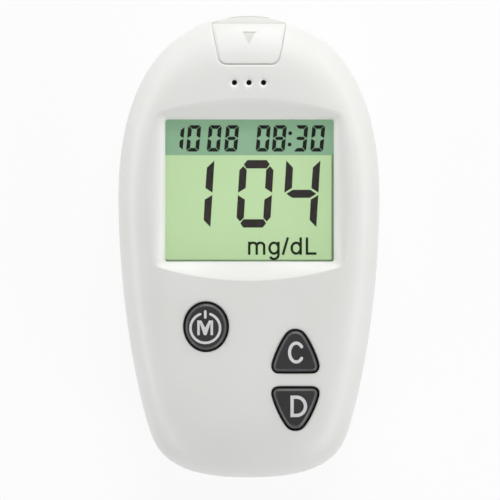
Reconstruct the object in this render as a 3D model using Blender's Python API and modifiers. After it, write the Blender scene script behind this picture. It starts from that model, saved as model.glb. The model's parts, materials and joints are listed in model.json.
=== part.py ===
# Blood glucose meter, lying on its back.
# +Z points out of the display, and +Y points to the end where the test strip goes in.
# The origin is in the middle of the rear face.

import bpy
import bmesh
from math import asin, atan2, cos, hypot, pi, radians, sin
from mathutils import Vector
import numpy as np

mm = 0.001

# Case
case_length = 92.4 * mm
case_width = 52.2 * mm
case_wall = 1.8 * mm
gap = 0.3 * mm                 # between two pieces that meet
overrun = 3.0 * mm             # how far a cut passes the surface that it cuts
bond = 0.5 * mm                # how far a rib or hook sinks into the plate that it grows from

# Outline of the case: three curves down one side, as shares of its half width or half length
crown_reach_share = 0.577
shoulder_reach_share = 0.545
widest_place_share = 0.210
flank_reach_share = 0.305
hip_width_share = 0.772
hip_place_share = 0.774
hip_upper_share = 0.297
hip_lower_share = 0.119
toe_reach_share = 0.612
hip_lean = radians(16.6)
outline_steps = (10, 10, 8)

# Profiles of the two covers, as superellipses from the rim to the middle
front_side_power = 8
front_crown_power = 2.2
front_profile_end = radians(88.5)
front_profile_steps = 8
rear_side_power = 8
rear_crown_power = 2.2
rear_profile_steps = 5
rear_belly = 0.6 * mm          # how far the rear curve would pass the rest face that cuts it flat

# Rim of the rear cover
tongue_thickness = 0.8 * mm
tongue_height = 1.35 * mm      # above the rear cover's rim
shelf_width = 1.3 * mm         # inside the tongue, under the board's edge
shelf_thickness = 1.0 * mm
shelf_drop = 0.9 * mm          # from the parting plane down to the shelf
shelf_root = 0.6 * mm          # how far the shelf reaches into the wall

# Display window and the dish round it
window_side = 9.2 * mm         # from the case's widest side to the window
window_port_spacing = 3.5 * mm # from the strip connector to the window
window_key_spacing = 7.95 * mm # from the window to the round key
window_lip = 0.8 * mm
dish_depth = 2.0 * mm          # from the crown of the case down to the window's edge
dish_top_side = 1.3 * mm       # how far the dish's corners lie outside the window's corners
dish_top_end = 0.9 * mm
dish_foot_side = 1.5 * mm
dish_foot_end = 0.7 * mm
dish_top_bulge = 2.8 * mm
dish_side_bulge = 2.4 * mm
dish_foot_bulge = 3.2 * mm
dish_backing = 1.2 * mm        # how far the thick wall behind the dish passes it
dish_steps = 8

# Lens and display cell
lens_flange = 0.8 * mm
lens_border = 1.0 * mm
lens_recess = 0.4 * mm         # from the window's edge down to the lens
cell_border = 1.4 * mm         # how far the display cell passes the window on each side
cell_front_glass = 0.9 * mm
cell_rear_glass = 1.1 * mm
zebra_width = 1.8 * mm
zebra_margin = 0.2 * mm        # from the cell's end to the zebra strip
zebra_side = 2.7 * mm          # from the cell's side to the zebra strip's end
holder_height = 3.2 * mm
holder_wall = 1.0 * mm
holder_side = 3.7 * mm
holder_end = 1.3 * mm

# Keys
key_rise = 0.5 * mm            # above the case
key_edge = 0.7 * mm            # rounding of a key's top edge
key_depth = 4.0 * mm           # from the crown of the case down to a key's underside
key_flange = 0.8 * mm
key_travel = 0.4 * mm
key_edge_steps = 3
key_crown_shares = (0.7, 0.4, 0.12)
mode_key_width = 9.2 * mm
mode_key_length = 10.2 * mm
mode_key_place_share = -0.1737 # along the case
mode_key_shift = 0.6 * mm      # how much nearer the middle line the round key lies than the other two
side_key_width = 9.6 * mm
side_key_length = 9.1 * mm
down_key_place_share = -0.3496
side_key_spacing = 2.25 * mm   # between the two rounded-triangle keys
side_key_inset = 6.65 * mm     # from the lower case screw to these keys, across the case
key_points = 32
side_key_tip_share = 0.498     # shares of the key's half width or half length
side_key_widest_share = 0.602
side_key_flank_share = 0.336
side_key_corner_share = 0.309
side_key_base_share = 0.736
switch_size = 6.0 * mm
switch_height = 3.5 * mm
switch_bevel = 0.4 * mm
plunger_radius = 1.75 * mm
plunger_depth = 0.8 * mm       # how far a plunger reaches into its switch at rest

# Circuit board and what it carries
board_thickness = 1.6 * mm
chip_bevel = 0.15 * mm
controller_size = (10.0 * mm, 10.0 * mm, 1.4 * mm)
memory_size = (4.0 * mm, 5.0 * mm, 1.5 * mm)
memory_place_share = 0.4       # of the way from the middle of the LCD holder to its wall
crystal_size = (3.2 * mm, 8.0 * mm, 2.4 * mm)
crystal_place_share = -0.35
capacitor_size = (3.2 * mm, 1.8 * mm, 1.6 * mm)
capacitor_place_shares = (-0.45, 0.55)
buzzer_size = (5.0 * mm, 5.0 * mm, 2.5 * mm)
buzzer_spacing = 0.7 * mm      # from the strip connector's side to the buzzer
buzzer_hole = 0.8 * mm

# Strip port at the +Y end, with its pull-off cover
strip_floor_rise = 1.6 * mm    # from the board up to the floor of the strip's slot
strip_slot_height = 1.2 * mm
strip_slot_width = 8.0 * mm
tab_length = 8.0 * mm
tab_end_inset = 1.7 * mm       # from the end of the case to the end of the strip port cover
tab_inner_width = 11.8 * mm
tab_outer_width = 14.2 * mm
tab_corner = 1.5 * mm
tab_wall = 1.3 * mm
port_back_wall = 1.3 * mm
port_side_wall = 2.2 * mm
port_floor_wall = 1.0 * mm     # under the strip's slot
arm_place = 4.4 * mm
arm_width = 1.6 * mm
arm_height = 1.4 * mm
arm_rise = 1.7 * mm            # from the strip port cover's underside up to its arms
arm_reach = 6.3 * mm
arrow_width = 2.6 * mm
arrow_length = 2.6 * mm
arrow_tip_inset = 3.8 * mm     # from the cover's inner end to the arrow's tip
arrow_depth = 0.35 * mm
sound_hole_inset = 3.7 * mm    # from the strip port cover's inner end to the sound holes
sound_hole_spacing = 2.9 * mm
sound_hole_radius = 0.7 * mm
connector_width = 12.4 * mm
connector_length = 5.7 * mm
connector_roof = 1.1 * mm
connector_back = 1.0 * mm
leaf_spacing = 2.4 * mm
leaf_width = 0.8 * mm
leaf_thickness = 0.2 * mm
leaf_length = 2.6 * mm
leaf_lift = 0.4 * mm           # how far a contact's tip stands in the strip's slot
leaf_room = 0.4 * mm           # clear space round a contact in its channel

# Screws
case_screw_inset = 4.5 * mm    # from the case's side to a case screw
upper_screw_spacing = 2.5 * mm # from the strip connector's inner end to the upper screws
lower_screw_place_share = -0.379             # along the case
case_boss_radius = 2.4 * mm
case_post_radius = 3.0 * mm
case_screw_recess = 4.9 * mm   # from the rear face up to a case screw's head
case_head_radius = 1.9 * mm
case_head_height = 1.6 * mm
case_shank_radius = 1.0 * mm
case_screw_length = 6.4 * mm   # under the head
board_screw_inset = 7.5 * mm   # from the case's side to a board screw
board_screw_place_share = -0.103
board_boss_radius = 2.2 * mm
board_head_radius = 1.8 * mm
board_head_height = 1.1 * mm
board_shank_radius = 0.9 * mm
board_screw_length = 5.9 * mm
screw_point = 0.4 * mm
cross_length = 2.2 * mm
cross_width = 0.6 * mm
cross_depth = 0.6 * mm

# Battery, its door and contacts
cell_radius = 10.0 * mm
cell_height = 3.2 * mm
cell_cap_inset = 1.2 * mm
cell_cap_step = 0.25 * mm
cell_edge = 0.3 * mm
battery_place_share = -0.14069 # along the case
battery_roof = 1.0 * mm
contact_room = 0.7 * mm        # over the battery's roof, for the feet of its contacts
battery_wall = 2.0 * mm        # round the door
door_width = 25.0 * mm
door_length = 27.0 * mm
door_corner = 2.5 * mm
door_thickness = 1.4 * mm
door_recess = 0.2 * mm         # behind the rest face
hook_place = 7.0 * mm
hook_width = 4.0 * mm
hook_reach = 1.8 * mm
hook_thickness = 1.0 * mm
hook_root = 1.0 * mm
latch_width = 8.0 * mm
latch_thickness = 0.8 * mm
latch_height = 2.6 * mm
latch_inset = 0.7 * mm
nail_radius = 4.0 * mm
nail_width = 9.0 * mm
nail_depth = 1.0 * mm
contact_thickness = 0.3 * mm
contact_width = 3.0 * mm
contact_foot = 2.4 * mm
finger_length = 8.0 * mm
finger_end = 5.3 * mm          # from the cell's middle to the finger's bend
clip_width = 5.0 * mm
clip_lift = 0.6 * mm           # from the door up to the side clip

# Blank label on the rear
label_side = 12.1 * mm         # from the case's widest side to the label
label_end_inset = 18.2 * mm    # from the end of the case to the label
label_spacing = 5.5 * mm       # from the battery door to the label
label_corner = 1.5 * mm
label_thickness = 0.2 * mm
label_recess = 0.1 * mm

round_steps = 24
screw_steps = 16
corner_steps = 4
join_distance = 0.01 * mm

# Heights that follow from the sizes above, from the rear face up
door_top = door_recess + door_thickness
battery_bottom = door_top + gap
battery_top = battery_bottom + cell_height
roof_bottom = battery_top + gap
roof_top = roof_bottom + battery_roof
shelf_top = roof_top + contact_room
parting_height = shelf_top + shelf_drop        # middle of the joint line between the two covers
front_rim = parting_height + gap / 2
rear_rim = parting_height - gap / 2
tongue_top = rear_rim + tongue_height
board_bottom = shelf_top + gap
board_top = board_bottom + board_thickness
seat = board_top + gap                         # what is soldered or rests on the board starts here
holder_top = seat + holder_height
cell_bottom = holder_top + gap
cell_middle = cell_bottom + cell_rear_glass
cell_top = cell_middle + cell_front_glass
flange_bottom = cell_top + gap
lip_bottom = flange_bottom + lens_flange + gap
window_edge = lip_bottom + window_lip
case_height = window_edge + dish_depth
key_bottom = case_height - key_depth
switch_top = seat + switch_height
plunger_bottom = switch_top - plunger_depth
strip_floor = board_top + strip_floor_rise
tab_bottom = strip_floor + strip_slot_height
port_floor = tab_bottom - gap

# Places that follow from the sizes above
case_end = case_length / 2
tab_end = case_end - tab_end_inset
tab_inner = tab_end - tab_length
sound_hole_place = tab_inner - sound_hole_inset
port_back = tab_inner - gap - port_back_wall
connector_mouth = port_back - gap
connector_end = connector_mouth - connector_length
buzzer_place = (-(connector_width + buzzer_size[0]) / 2 - buzzer_spacing, (connector_mouth + connector_end) / 2)
mode_key_middle = case_length * mode_key_place_share
down_key_middle = case_length * down_key_place_share
up_key_middle = down_key_middle + side_key_length + side_key_spacing
window_top = connector_end - window_port_spacing
window_foot = mode_key_middle + mode_key_length / 2 + window_key_spacing
window_width = case_width - 2 * window_side
window_length = window_top - window_foot
window_place = (window_top + window_foot) / 2
zebra_ledge = zebra_margin + zebra_width + gap
holder_half_width = window_width / 2 + cell_border - holder_side
holder_half_length = window_length / 2 + cell_border - zebra_ledge - holder_wall
battery_place = case_length * battery_place_share
door_front = battery_place + door_length / 2
door_back = battery_place - door_length / 2
label_width = case_width - 2 * label_side
label_length = case_end - label_end_inset - door_front - label_spacing
label_place = door_front + label_spacing + label_length / 2


# Outlines, as lists of points that run anticlockwise


def bezier(start, leave, reach, end, steps):
    points = []
    for step in range(steps):
        t = step / steps
        u = 1 - t
        weights = (u ** 3, 3 * u * u * t, 3 * u * t * t, t ** 3)
        handles = (start, leave, reach, end)
        points.append(tuple(sum(w * h[axis] for w, h in zip(weights, handles)) for axis in (0, 1)))
    return points


def both_sides(right):
    # right runs down one side, from the top of the middle line to its foot
    left = [(-x, y) for x, y in right[1:-1]]
    return right[::-1] + left


def case_outline():
    half = case_width / 2
    end = case_length / 2
    widest = (half, end * widest_place_share)
    hip = (half * hip_width_share, -end * hip_place_share)
    shoulder = (half, widest[1] + end * shoulder_reach_share)
    flank = (half, widest[1] - end * flank_reach_share)
    upper = end * hip_upper_share
    lower = end * hip_lower_share
    above_hip = (hip[0] + sin(hip_lean) * upper, hip[1] + cos(hip_lean) * upper)
    below_hip = (hip[0] - sin(hip_lean) * lower, hip[1] - cos(hip_lean) * lower)
    right = bezier((0, end), (half * crown_reach_share, end), shoulder, widest, outline_steps[0])
    right += bezier(widest, flank, above_hip, hip, outline_steps[1])
    right += bezier(hip, below_hip, (half * toe_reach_share, -end), (0, -end), outline_steps[2])
    right.append((0, -end))
    return both_sides(right)


def offset(points, distance):
    # moves an outline out by a distance, or in where it is negative
    moved = []
    for before, point, after in zip(points[-1:] + points[:-1], points, points[1:] + points[:1]):
        first = Vector((point[1] - before[1], before[0] - point[0])).normalized()
        second = Vector((after[1] - point[1], point[0] - after[0])).normalized()
        normal = (first + second).normalized()
        reach = distance / first.dot(normal)
        moved.append((point[0] + normal.x * reach, point[1] + normal.y * reach))
    return moved


def shifted(points, place):
    return [(x + place[0], y + place[1]) for x, y in points]


def ellipse(width, length, count):
    angles = [2 * pi * step / count for step in range(count)]
    return [(cos(angle) * width / 2, sin(angle) * length / 2) for angle in angles]


def rounded_rectangle(width, length, radius):
    points = []
    for quarter, (side, end) in enumerate(((1, 1), (-1, 1), (-1, -1), (1, -1))):
        for step in range(corner_steps + 1):
            angle = (quarter + step / corner_steps) * pi / 2
            x = side * (width / 2 - radius) + radius * cos(angle)
            y = end * (length / 2 - radius) + radius * sin(angle)
            points.append((x, y))
    return points


def rounded_triangle(width, length, direction):
    # one corner points along +Y where direction is 1, and along -Y where it is -1
    half = width / 2
    end = length / 2
    widest = (half, -end * side_key_widest_share)
    flank = (half, widest[1] + end * side_key_flank_share)
    corner = (half, widest[1] - end * side_key_corner_share)
    steps = key_points // 4
    right = bezier((0, end), (half * side_key_tip_share, end), flank, widest, steps)
    right += bezier(widest, corner, (half * side_key_base_share, -end), (0, -end), steps)
    right.append((0, -end))
    points = both_sides(right)
    if direction < 0:
        points = [(-x, -y) for x, y in points]
    return points


def four_sides(corners, bulges):
    # corners run anticlockwise, and each side swells out in the middle by its bulge
    points = []
    for corner, following, bulge in zip(corners, corners[1:] + corners[:1], bulges):
        along = (following[0] - corner[0], following[1] - corner[1])
        length = hypot(*along)
        for step in range(dish_steps):
            t = step / dish_steps
            swell = 4 * bulge * t * (1 - t) / length
            x = corner[0] + along[0] * t + along[1] * swell
            y = corner[1] + along[1] * t - along[0] * swell
            points.append((x, y))
    return points


def window_outline():
    side = window_width / 2
    corners = [(side, window_foot), (side, window_top), (-side, window_top), (-side, window_foot)]
    return four_sides(corners, (0, 0, 0, 0))


def dish_outline():
    top_side = window_width / 2 + dish_top_side
    foot_side = window_width / 2 + dish_foot_side
    top = window_top + dish_top_end
    foot = window_foot - dish_foot_end
    corners = [(foot_side, foot), (top_side, top), (-top_side, top), (-foot_side, foot)]
    return four_sides(corners, (dish_side_bulge, dish_top_bulge, dish_side_bulge, dish_foot_bulge))


def tab_corners():
    # the two rounded corners at the strip port cover's inner end
    half = tab_inner_width / 2
    points = []
    for quarter, side in ((2, -1), (3, 1)):
        for step in range(corner_steps + 1):
            angle = (quarter + step / corner_steps) * pi / 2
            x = side * (half - tab_corner) + tab_corner * cos(angle)
            points.append((x, tab_inner + tab_corner + tab_corner * sin(angle)))
    return points


def tab_outline():
    half = tab_outer_width / 2
    return [(half, tab_end), (-half, tab_end)] + tab_corners()


def pocket_outline():
    # the strip port cover's outline with its clearance, run straight out past the end of the case
    half = tab_outer_width / 2
    far = case_end + overrun
    return offset([(half, far), (-half, far), (-half, tab_end)] + tab_corners() + [(half, tab_end)], gap)


case_points = case_outline()


def half_width_at(y):
    right = sorted((py, px) for px, py in case_points if px > 0)
    return float(np.interp(y, [p[0] for p in right], [p[1] for p in right]))


def case_screw_centres():
    centres = []
    for y in (connector_end + upper_screw_spacing, case_length * lower_screw_place_share):
        for side in (-1, 1):
            centres.append((side * (half_width_at(y) - case_screw_inset), y))
    return centres


def board_screw_centres():
    y = case_length * board_screw_place_share
    return [(side * (half_width_at(y) - board_screw_inset), y) for side in (-1, 1)]


# Surface of the front cover


def front_height(x, y, inset=0):
    # height of the crowned surface over a point, or of the surface that lies inset under it
    ring = offset(case_points, -inset)
    angles = [atan2(py, px) for px, py in ring]
    order = np.argsort(angles)
    reach = np.interp(atan2(y, x), np.array(angles)[order], np.hypot(*np.array(ring)[order].T), period=2 * pi)
    share = min(hypot(x, y) / float(reach), 1)
    rise = case_height - inset - front_rim
    return front_rim + rise * (1 - share ** front_side_power) ** (1 / front_crown_power)


def draped(points, lift=0, inset=0):
    return [(x, y, front_height(x, y, inset) + lift) for x, y in points]


def level(points, height):
    return [(x, y, height) for x, y in points]


# Shapes


def loft(rings):
    shape = bmesh.new()
    loops = [[shape.verts.new(point) for point in ring] for ring in rings]
    for lower, upper in zip(loops, loops[1:]):
        for low, low_next, high, high_next in zip(lower, lower[1:] + lower[:1], upper, upper[1:] + upper[:1]):
            shape.faces.new((low, low_next, high_next, high))
    shape.faces.new(loops[0][::-1])
    shape.faces.new(loops[-1])
    return shape


def prism(points, bottom, top):
    shape = bmesh.new()
    face = shape.faces.new([shape.verts.new((x, y, bottom)) for x, y in points])
    grown = bmesh.ops.extrude_face_region(shape, geom=[face])["geom"]
    moved = [item for item in grown if isinstance(item, bmesh.types.BMVert)]
    bmesh.ops.translate(shape, verts=moved, vec=(0, 0, top - bottom))
    return shape


def box(low, high):
    shape = bmesh.new()
    bmesh.ops.create_cube(shape, size=1)
    size = [h - l for l, h in zip(low, high)]
    middle = [(h + l) / 2 for l, h in zip(low, high)]
    bmesh.ops.scale(shape, verts=shape.verts, vec=size)
    bmesh.ops.translate(shape, verts=shape.verts, vec=middle)
    return shape


def block(place, size, bottom):
    # a box on a place in plan, with its underside at a height
    low = (place[0] - size[0] / 2, place[1] - size[1] / 2, bottom)
    high = (place[0] + size[0] / 2, place[1] + size[1] / 2, bottom + size[2])
    return box(low, high)


def cylinder(place, radius, bottom, top):
    shape = bmesh.new()
    bmesh.ops.create_cone(shape, cap_ends=True, segments=round_steps, radius1=radius, radius2=radius,
                          depth=top - bottom)
    bmesh.ops.translate(shape, verts=shape.verts, vec=(place[0], place[1], (top + bottom) / 2))
    return shape


def slab(profile, low, high, axis):
    # a profile in the plane across an axis, (y, z) across X or (x, z) across Y, made solid along it
    shape = bmesh.new()
    if axis == "X":
        corners = [(low, y, z) for y, z in profile]
        step = (high - low, 0, 0)
    else:
        corners = [(x, low, z) for x, z in profile]
        step = (0, high - low, 0)
    face = shape.faces.new([shape.verts.new(corner) for corner in corners])
    grown = bmesh.ops.extrude_face_region(shape, geom=[face])["geom"]
    moved = [item for item in grown if isinstance(item, bmesh.types.BMVert)]
    bmesh.ops.translate(shape, verts=moved, vec=step)
    return shape


def turned(profile):
    # a profile of (radius, height) that runs down its outer side, spun later by a Screw modifier
    shape = bmesh.new()
    corners = [shape.verts.new((radius, 0, height)) for radius, height in profile]
    for upper, lower in zip(corners, corners[1:]):
        shape.edges.new((upper, lower))
    return shape


def cover_solid(inset, foot):
    # the crowned outside of the front cover, or the surface that lies inset under it
    ring = offset(case_points, -inset)
    rise = case_height - inset - front_rim
    rings = [level(ring, foot)] if foot < front_rim else []
    for step in range(front_profile_steps + 1):
        angle = front_profile_end * step / front_profile_steps
        share = cos(angle) ** (2 / front_side_power)
        height = front_rim + rise * sin(angle) ** (2 / front_crown_power)
        rings.append([(x * share, y * share, height) for x, y in ring])
    return loft(rings)


def tub_solid(inset, brim):
    # the rounded outside of the rear cover, or the surface that lies inset within it
    ring = offset(case_points, -inset)
    drop = rear_rim + rear_belly
    last = asin((rear_rim / drop) ** (rear_crown_power / 2))
    rings = [level(ring, brim)] if brim > rear_rim else []
    for step in range(rear_profile_steps + 1):
        angle = last * step / rear_profile_steps
        share = cos(angle) ** (2 / rear_side_power)
        depth = (drop * sin(angle) ** (2 / rear_crown_power)) * (rear_rim - inset) / rear_rim
        rings.append([(x * share, y * share, rear_rim - depth) for x, y in ring])
    return loft(rings)


# Objects


for old in list(bpy.data.objects):
    bpy.data.objects.remove(old)

part_collection = bpy.data.collections.new("blood_glucose_meter")
cutter_collection = bpy.data.collections.new("cutters")
bpy.context.scene.collection.children.link(part_collection)
bpy.context.scene.collection.children.link(cutter_collection)


def material(name, colour, roughness, metallic=0.0, alpha=1.0):
    made = bpy.data.materials.new(name)
    made.use_nodes = True
    shader = made.node_tree.nodes["Principled BSDF"]
    shader.inputs["Base Color"].default_value = (*colour, 1)
    shader.inputs["Roughness"].default_value = roughness
    shader.inputs["Metallic"].default_value = metallic
    shader.inputs["Alpha"].default_value = alpha
    return made


white_plastic = material("white_plastic", (0.80, 0.80, 0.77), 0.35)
key_plastic = material("key_plastic", (0.045, 0.043, 0.046), 0.45)
clear_plastic = material("clear_plastic", (0.90, 0.92, 0.90), 0.08, alpha=0.35)
display_glass = material("display_glass", (0.48, 0.65, 0.38), 0.15)
black_plastic = material("black_plastic", (0.02, 0.02, 0.02), 0.5)
ivory_plastic = material("ivory_plastic", (0.75, 0.72, 0.62), 0.5)
grey_rubber = material("grey_rubber", (0.20, 0.20, 0.21), 0.8)
board_green = material("board_green", (0.02, 0.16, 0.06), 0.45)
bright_steel = material("bright_steel", (0.62, 0.62, 0.60), 0.25, metallic=1.0)
gold_plate = material("gold_plate", (0.83, 0.62, 0.25), 0.25, metallic=1.0)
tan_ceramic = material("tan_ceramic", (0.50, 0.36, 0.20), 0.5)
label_film = material("label_film", (0.70, 0.71, 0.72), 0.4)


def place(name, shape, finish, parent=None):
    # puts a shape drawn in the case's own frame into the scene, on its parent's axis where it has one
    mesh = bpy.data.meshes.new(name)
    if len(shape.faces) > 0:
        bmesh.ops.recalc_face_normals(shape, faces=shape.faces)
    if parent is not None:
        bmesh.ops.translate(shape, verts=shape.verts, vec=-parent.location)
    shape.to_mesh(mesh)
    shape.free()
    made = bpy.data.objects.new(name, mesh)
    made.parent = parent
    mesh.materials.append(finish)
    part_collection.objects.link(made)
    return made


def cutter(name, shape):
    mesh = bpy.data.meshes.new(name)
    bmesh.ops.recalc_face_normals(shape, faces=shape.faces)
    shape.to_mesh(mesh)
    shape.free()
    made = bpy.data.objects.new(name, mesh)
    made.hide_render = True
    made.display_type = 'WIRE'
    cutter_collection.objects.link(made)
    return made


def joint_axis(name, location):
    made = bpy.data.objects.new(name, None)
    made.location = location
    part_collection.objects.link(made)
    return made


def combine(piece, other, operation):
    if piece.parent is not None and other.name in cutter_collection.objects:
        other.parent = piece.parent
        other.matrix_parent_inverse.translation = -piece.parent.location
    change = piece.modifiers.new(other.name, 'BOOLEAN')
    change.operation = operation
    change.object = other


def cut(piece, name, shape):
    combine(piece, cutter(name, shape), 'DIFFERENCE')


def join(piece, name, shape):
    combine(piece, cutter(name, shape), 'UNION')


def soften(piece, width, segments=2):
    change = piece.modifiers.new("soft_edges", 'BEVEL')
    change.width = width
    change.segments = segments
    change.limit_method = 'ANGLE'


def spin(piece, steps):
    change = piece.modifiers.new("spin", 'SCREW')
    change.steps = steps
    change.render_steps = steps
    change.use_merge_vertices = True
    change.merge_threshold = join_distance


def smooth(piece):
    piece.data.shade_smooth()
    piece.data.set_sharp_from_angle(angle=radians(35))


# Front cover


side_key_x = case_screw_centres()[-1][0] - side_key_inset
mode_key_place = (mode_key_shift - side_key_x, mode_key_middle)
up_key_place = (side_key_x, up_key_middle)
down_key_place = (side_key_x, down_key_middle)
mode_key_points = shifted(ellipse(mode_key_width, mode_key_length, key_points), mode_key_place)
up_key_points = shifted(rounded_triangle(side_key_width, side_key_length, 1), up_key_place)
down_key_points = shifted(rounded_triangle(side_key_width, side_key_length, -1), down_key_place)
keys = {"m": (mode_key_points, mode_key_place),
        "c": (up_key_points, up_key_place),
        "d": (down_key_points, down_key_place)}


def make_front_cavity():
    # the hollow of the front cover, less everything that grows from its inner face
    above = case_height + overrun
    hollow = cutter("front_cavity", cover_solid(case_wall, front_rim - overrun))
    cut(hollow, "dish_backing_tool", prism(offset(dish_outline(), dish_backing), lip_bottom, above))
    port_half = tab_outer_width / 2 + gap + port_side_wall
    port_low = (-port_half, port_back, strip_floor - port_floor_wall)
    cut(hollow, "port_block", box(port_low, (port_half, case_end + overrun, above)))
    for index, centre in enumerate(case_screw_centres()):
        cut(hollow, f"case_boss_{index}", cylinder(centre, case_boss_radius, tongue_top + gap, above))
    for index, centre in enumerate(board_screw_centres()):
        cut(hollow, f"board_boss_{index}", cylinder(centre, board_boss_radius, seat, above))
    return hollow


def make_front_cover():
    cover = place("front_cover", cover_solid(0, front_rim), white_plastic)
    combine(cover, make_front_cavity(), 'DIFFERENCE')
    above = case_height + overrun
    window = window_outline()
    dish = dish_outline()
    rings = [level(window, holder_top), level(window, window_edge), draped(dish), level(dish, above)]
    cut(cover, "window_and_dish", loft(rings))
    lens_room = lens_border + gap
    lens_size = (window_width + 2 * lens_room, window_length + 2 * lens_room, lip_bottom - seat)
    cut(cover, "lens_room", block((0, window_place), lens_size, seat))
    cell_room = cell_border + gap
    cell_size = (window_width + 2 * cell_room, window_length + 2 * cell_room, flange_bottom - seat)
    cut(cover, "cell_room", block((0, window_place), cell_size, seat))
    for name, (points, _) in keys.items():
        cut(cover, f"key_hole_{name}", prism(points, key_bottom - overrun, above))
    for number in (-1, 0, 1):
        centre = (number * sound_hole_spacing, sound_hole_place)
        cut(cover, f"sound_hole_{number + 1}", cylinder(centre, sound_hole_radius, tab_bottom, above))
    cut(cover, "tab_pocket", prism(pocket_outline(), port_floor, above))
    slot_low = (-strip_slot_width / 2, port_back - overrun, strip_floor)
    cut(cover, "strip_slot", box(slot_low, (strip_slot_width / 2, case_end + overrun, tab_bottom)))
    arm_room = arm_width / 2 + gap
    arm_top = tab_bottom + arm_rise + arm_height
    for side in (-1, 1):
        low = (side * arm_place - arm_room, port_back - overrun, tab_bottom + arm_rise - gap)
        high = (side * arm_place + arm_room, tab_inner + overrun, arm_top + gap)
        cut(cover, f"arm_hole_{side + 1}", box(low, high))
    screw_end = case_screw_recess + case_head_height + case_screw_length + gap
    for index, centre in enumerate(case_screw_centres()):
        hole = cylinder(centre, case_shank_radius + gap, parting_height - overrun, screw_end)
        cut(cover, f"case_screw_hole_{index}", hole)
    screw_end = board_bottom - gap + board_screw_length + gap
    for index, centre in enumerate(board_screw_centres()):
        hole = cylinder(centre, board_shank_radius + gap, board_bottom, screw_end)
        cut(cover, f"board_screw_hole_{index}", hole)
    return cover


make_front_cover()


# Rear cover


def make_rear_cover():
    cover = place("rear_cover", tub_solid(0, rear_rim), white_plastic)
    hollow = cutter("rear_cavity", tub_solid(case_wall, rear_rim + overrun))
    tongue_outer = offset(case_points, -(case_wall + gap))
    tongue_inner = offset(tongue_outer, -tongue_thickness)
    shelf_inner = offset(tongue_inner, -shelf_width)
    shelf_outer = offset(case_points, -(case_wall - shelf_root))
    shelf = cutter("shelf", prism(shelf_outer, shelf_top - shelf_thickness, shelf_top))
    cut(shelf, "shelf_opening", prism(shelf_inner, shelf_top - overrun, shelf_top + overrun))
    combine(hollow, shelf, 'DIFFERENCE')
    block_size = (door_width + 2 * battery_wall, door_length + 2 * battery_wall, roof_top + overrun)
    cut(hollow, "battery_block", block((0, battery_place), block_size, -overrun))
    for index, centre in enumerate(case_screw_centres()):
        cut(hollow, f"case_post_{index}", cylinder(centre, case_post_radius, -overrun, tongue_top + overrun))
    combine(cover, hollow, 'DIFFERENCE')

    # the tongue stands inside the front cover's rim, and the screw posts rise with it
    tongue_foot = shelf_top - shelf_thickness / 2
    tongue = cutter("tongue", prism(tongue_outer, tongue_foot, tongue_top))
    opening = cutter("tongue_opening", prism(tongue_inner, tongue_foot - overrun, tongue_top + overrun))
    for index, centre in enumerate(case_screw_centres()):
        collar = cylinder(centre, case_post_radius, tongue_foot - 2 * overrun, tongue_top + 2 * overrun)
        cut(opening, f"post_collar_{index}", collar)
    combine(tongue, opening, 'DIFFERENCE')
    combine(cover, tongue, 'UNION')

    opening = shifted(rounded_rectangle(door_width + 2 * gap, door_length + 2 * gap, door_corner + gap),
                      (0, battery_place))
    cut(cover, "door_opening", prism(opening, -overrun, battery_bottom))
    cut(cover, "cell_pocket", cylinder((0, battery_place), cell_radius + gap, door_recess, roof_bottom))
    hook_rise = door_top + bond + hook_thickness - door_recess
    for side in (-1, 1):
        # the hooks swing about the door's edge, so their pocket clears the circles of their corners
        room = hook_width / 2 + gap
        low = (side * hook_place - room, door_front - hypot(hook_root, hook_rise) - gap, door_top)
        high = (side * hook_place + room, door_front + battery_wall + overrun,
                door_recess + hypot(hook_reach, hook_rise) + gap)
        cut(cover, f"hook_room_{side + 1}", box(low, high))
    latch_room = latch_width / 2 + gap
    latch_front = door_back + latch_inset + latch_thickness
    high = (latch_room, latch_front + gap, door_top + latch_height + gap)
    cut(cover, "latch_room", box((-latch_room, door_back - gap, door_top), high))
    finger_room = contact_width / 2 + gap
    bend = battery_place + finger_end
    finger_low = (-finger_room, bend - finger_length - gap, roof_bottom - bond)
    finger_high = (finger_room, bend + contact_thickness + gap, roof_top + overrun)
    cut(cover, "finger_slot", box(finger_low, finger_high))
    clip_room = clip_width / 2 + gap
    clip_low = (cell_radius, battery_place - clip_room, door_top)
    clip_high = (cell_radius + gap + contact_thickness + gap, battery_place + clip_room, roof_top + overrun)
    cut(cover, "clip_slot", box(clip_low, clip_high))
    cut(cover, "nail_notch", slab(nail_profile(), -nail_width / 2, nail_width / 2, "X"))
    recess = rounded_rectangle(label_width + 2 * gap, label_length + 2 * gap, label_corner)
    recess_top = label_recess + label_thickness + gap
    cut(cover, "label_recess_tool", prism(shifted(recess, (0, label_place)), -overrun, recess_top))
    head_top = case_screw_recess + case_head_height
    for index, centre in enumerate(case_screw_centres()):
        head_room = cylinder(centre, case_head_radius + gap, -overrun, head_top + gap)
        cut(cover, f"head_room_{index}", head_room)
        shank = cylinder(centre, case_shank_radius + gap, case_screw_recess, tongue_top + overrun)
        cut(cover, f"shank_hole_{index}", shank)
    return cover


def nail_profile():
    # a round scoop at the door's free end
    middle = (door_back, nail_depth - nail_radius)
    angles = [2 * pi * step / round_steps for step in range(round_steps)]
    return [(middle[0] + nail_radius * cos(angle), middle[1] + nail_radius * sin(angle)) for angle in angles]


make_rear_cover()


# Strip port cover: the tab at the +Y end, which pulls off along +Y


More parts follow.
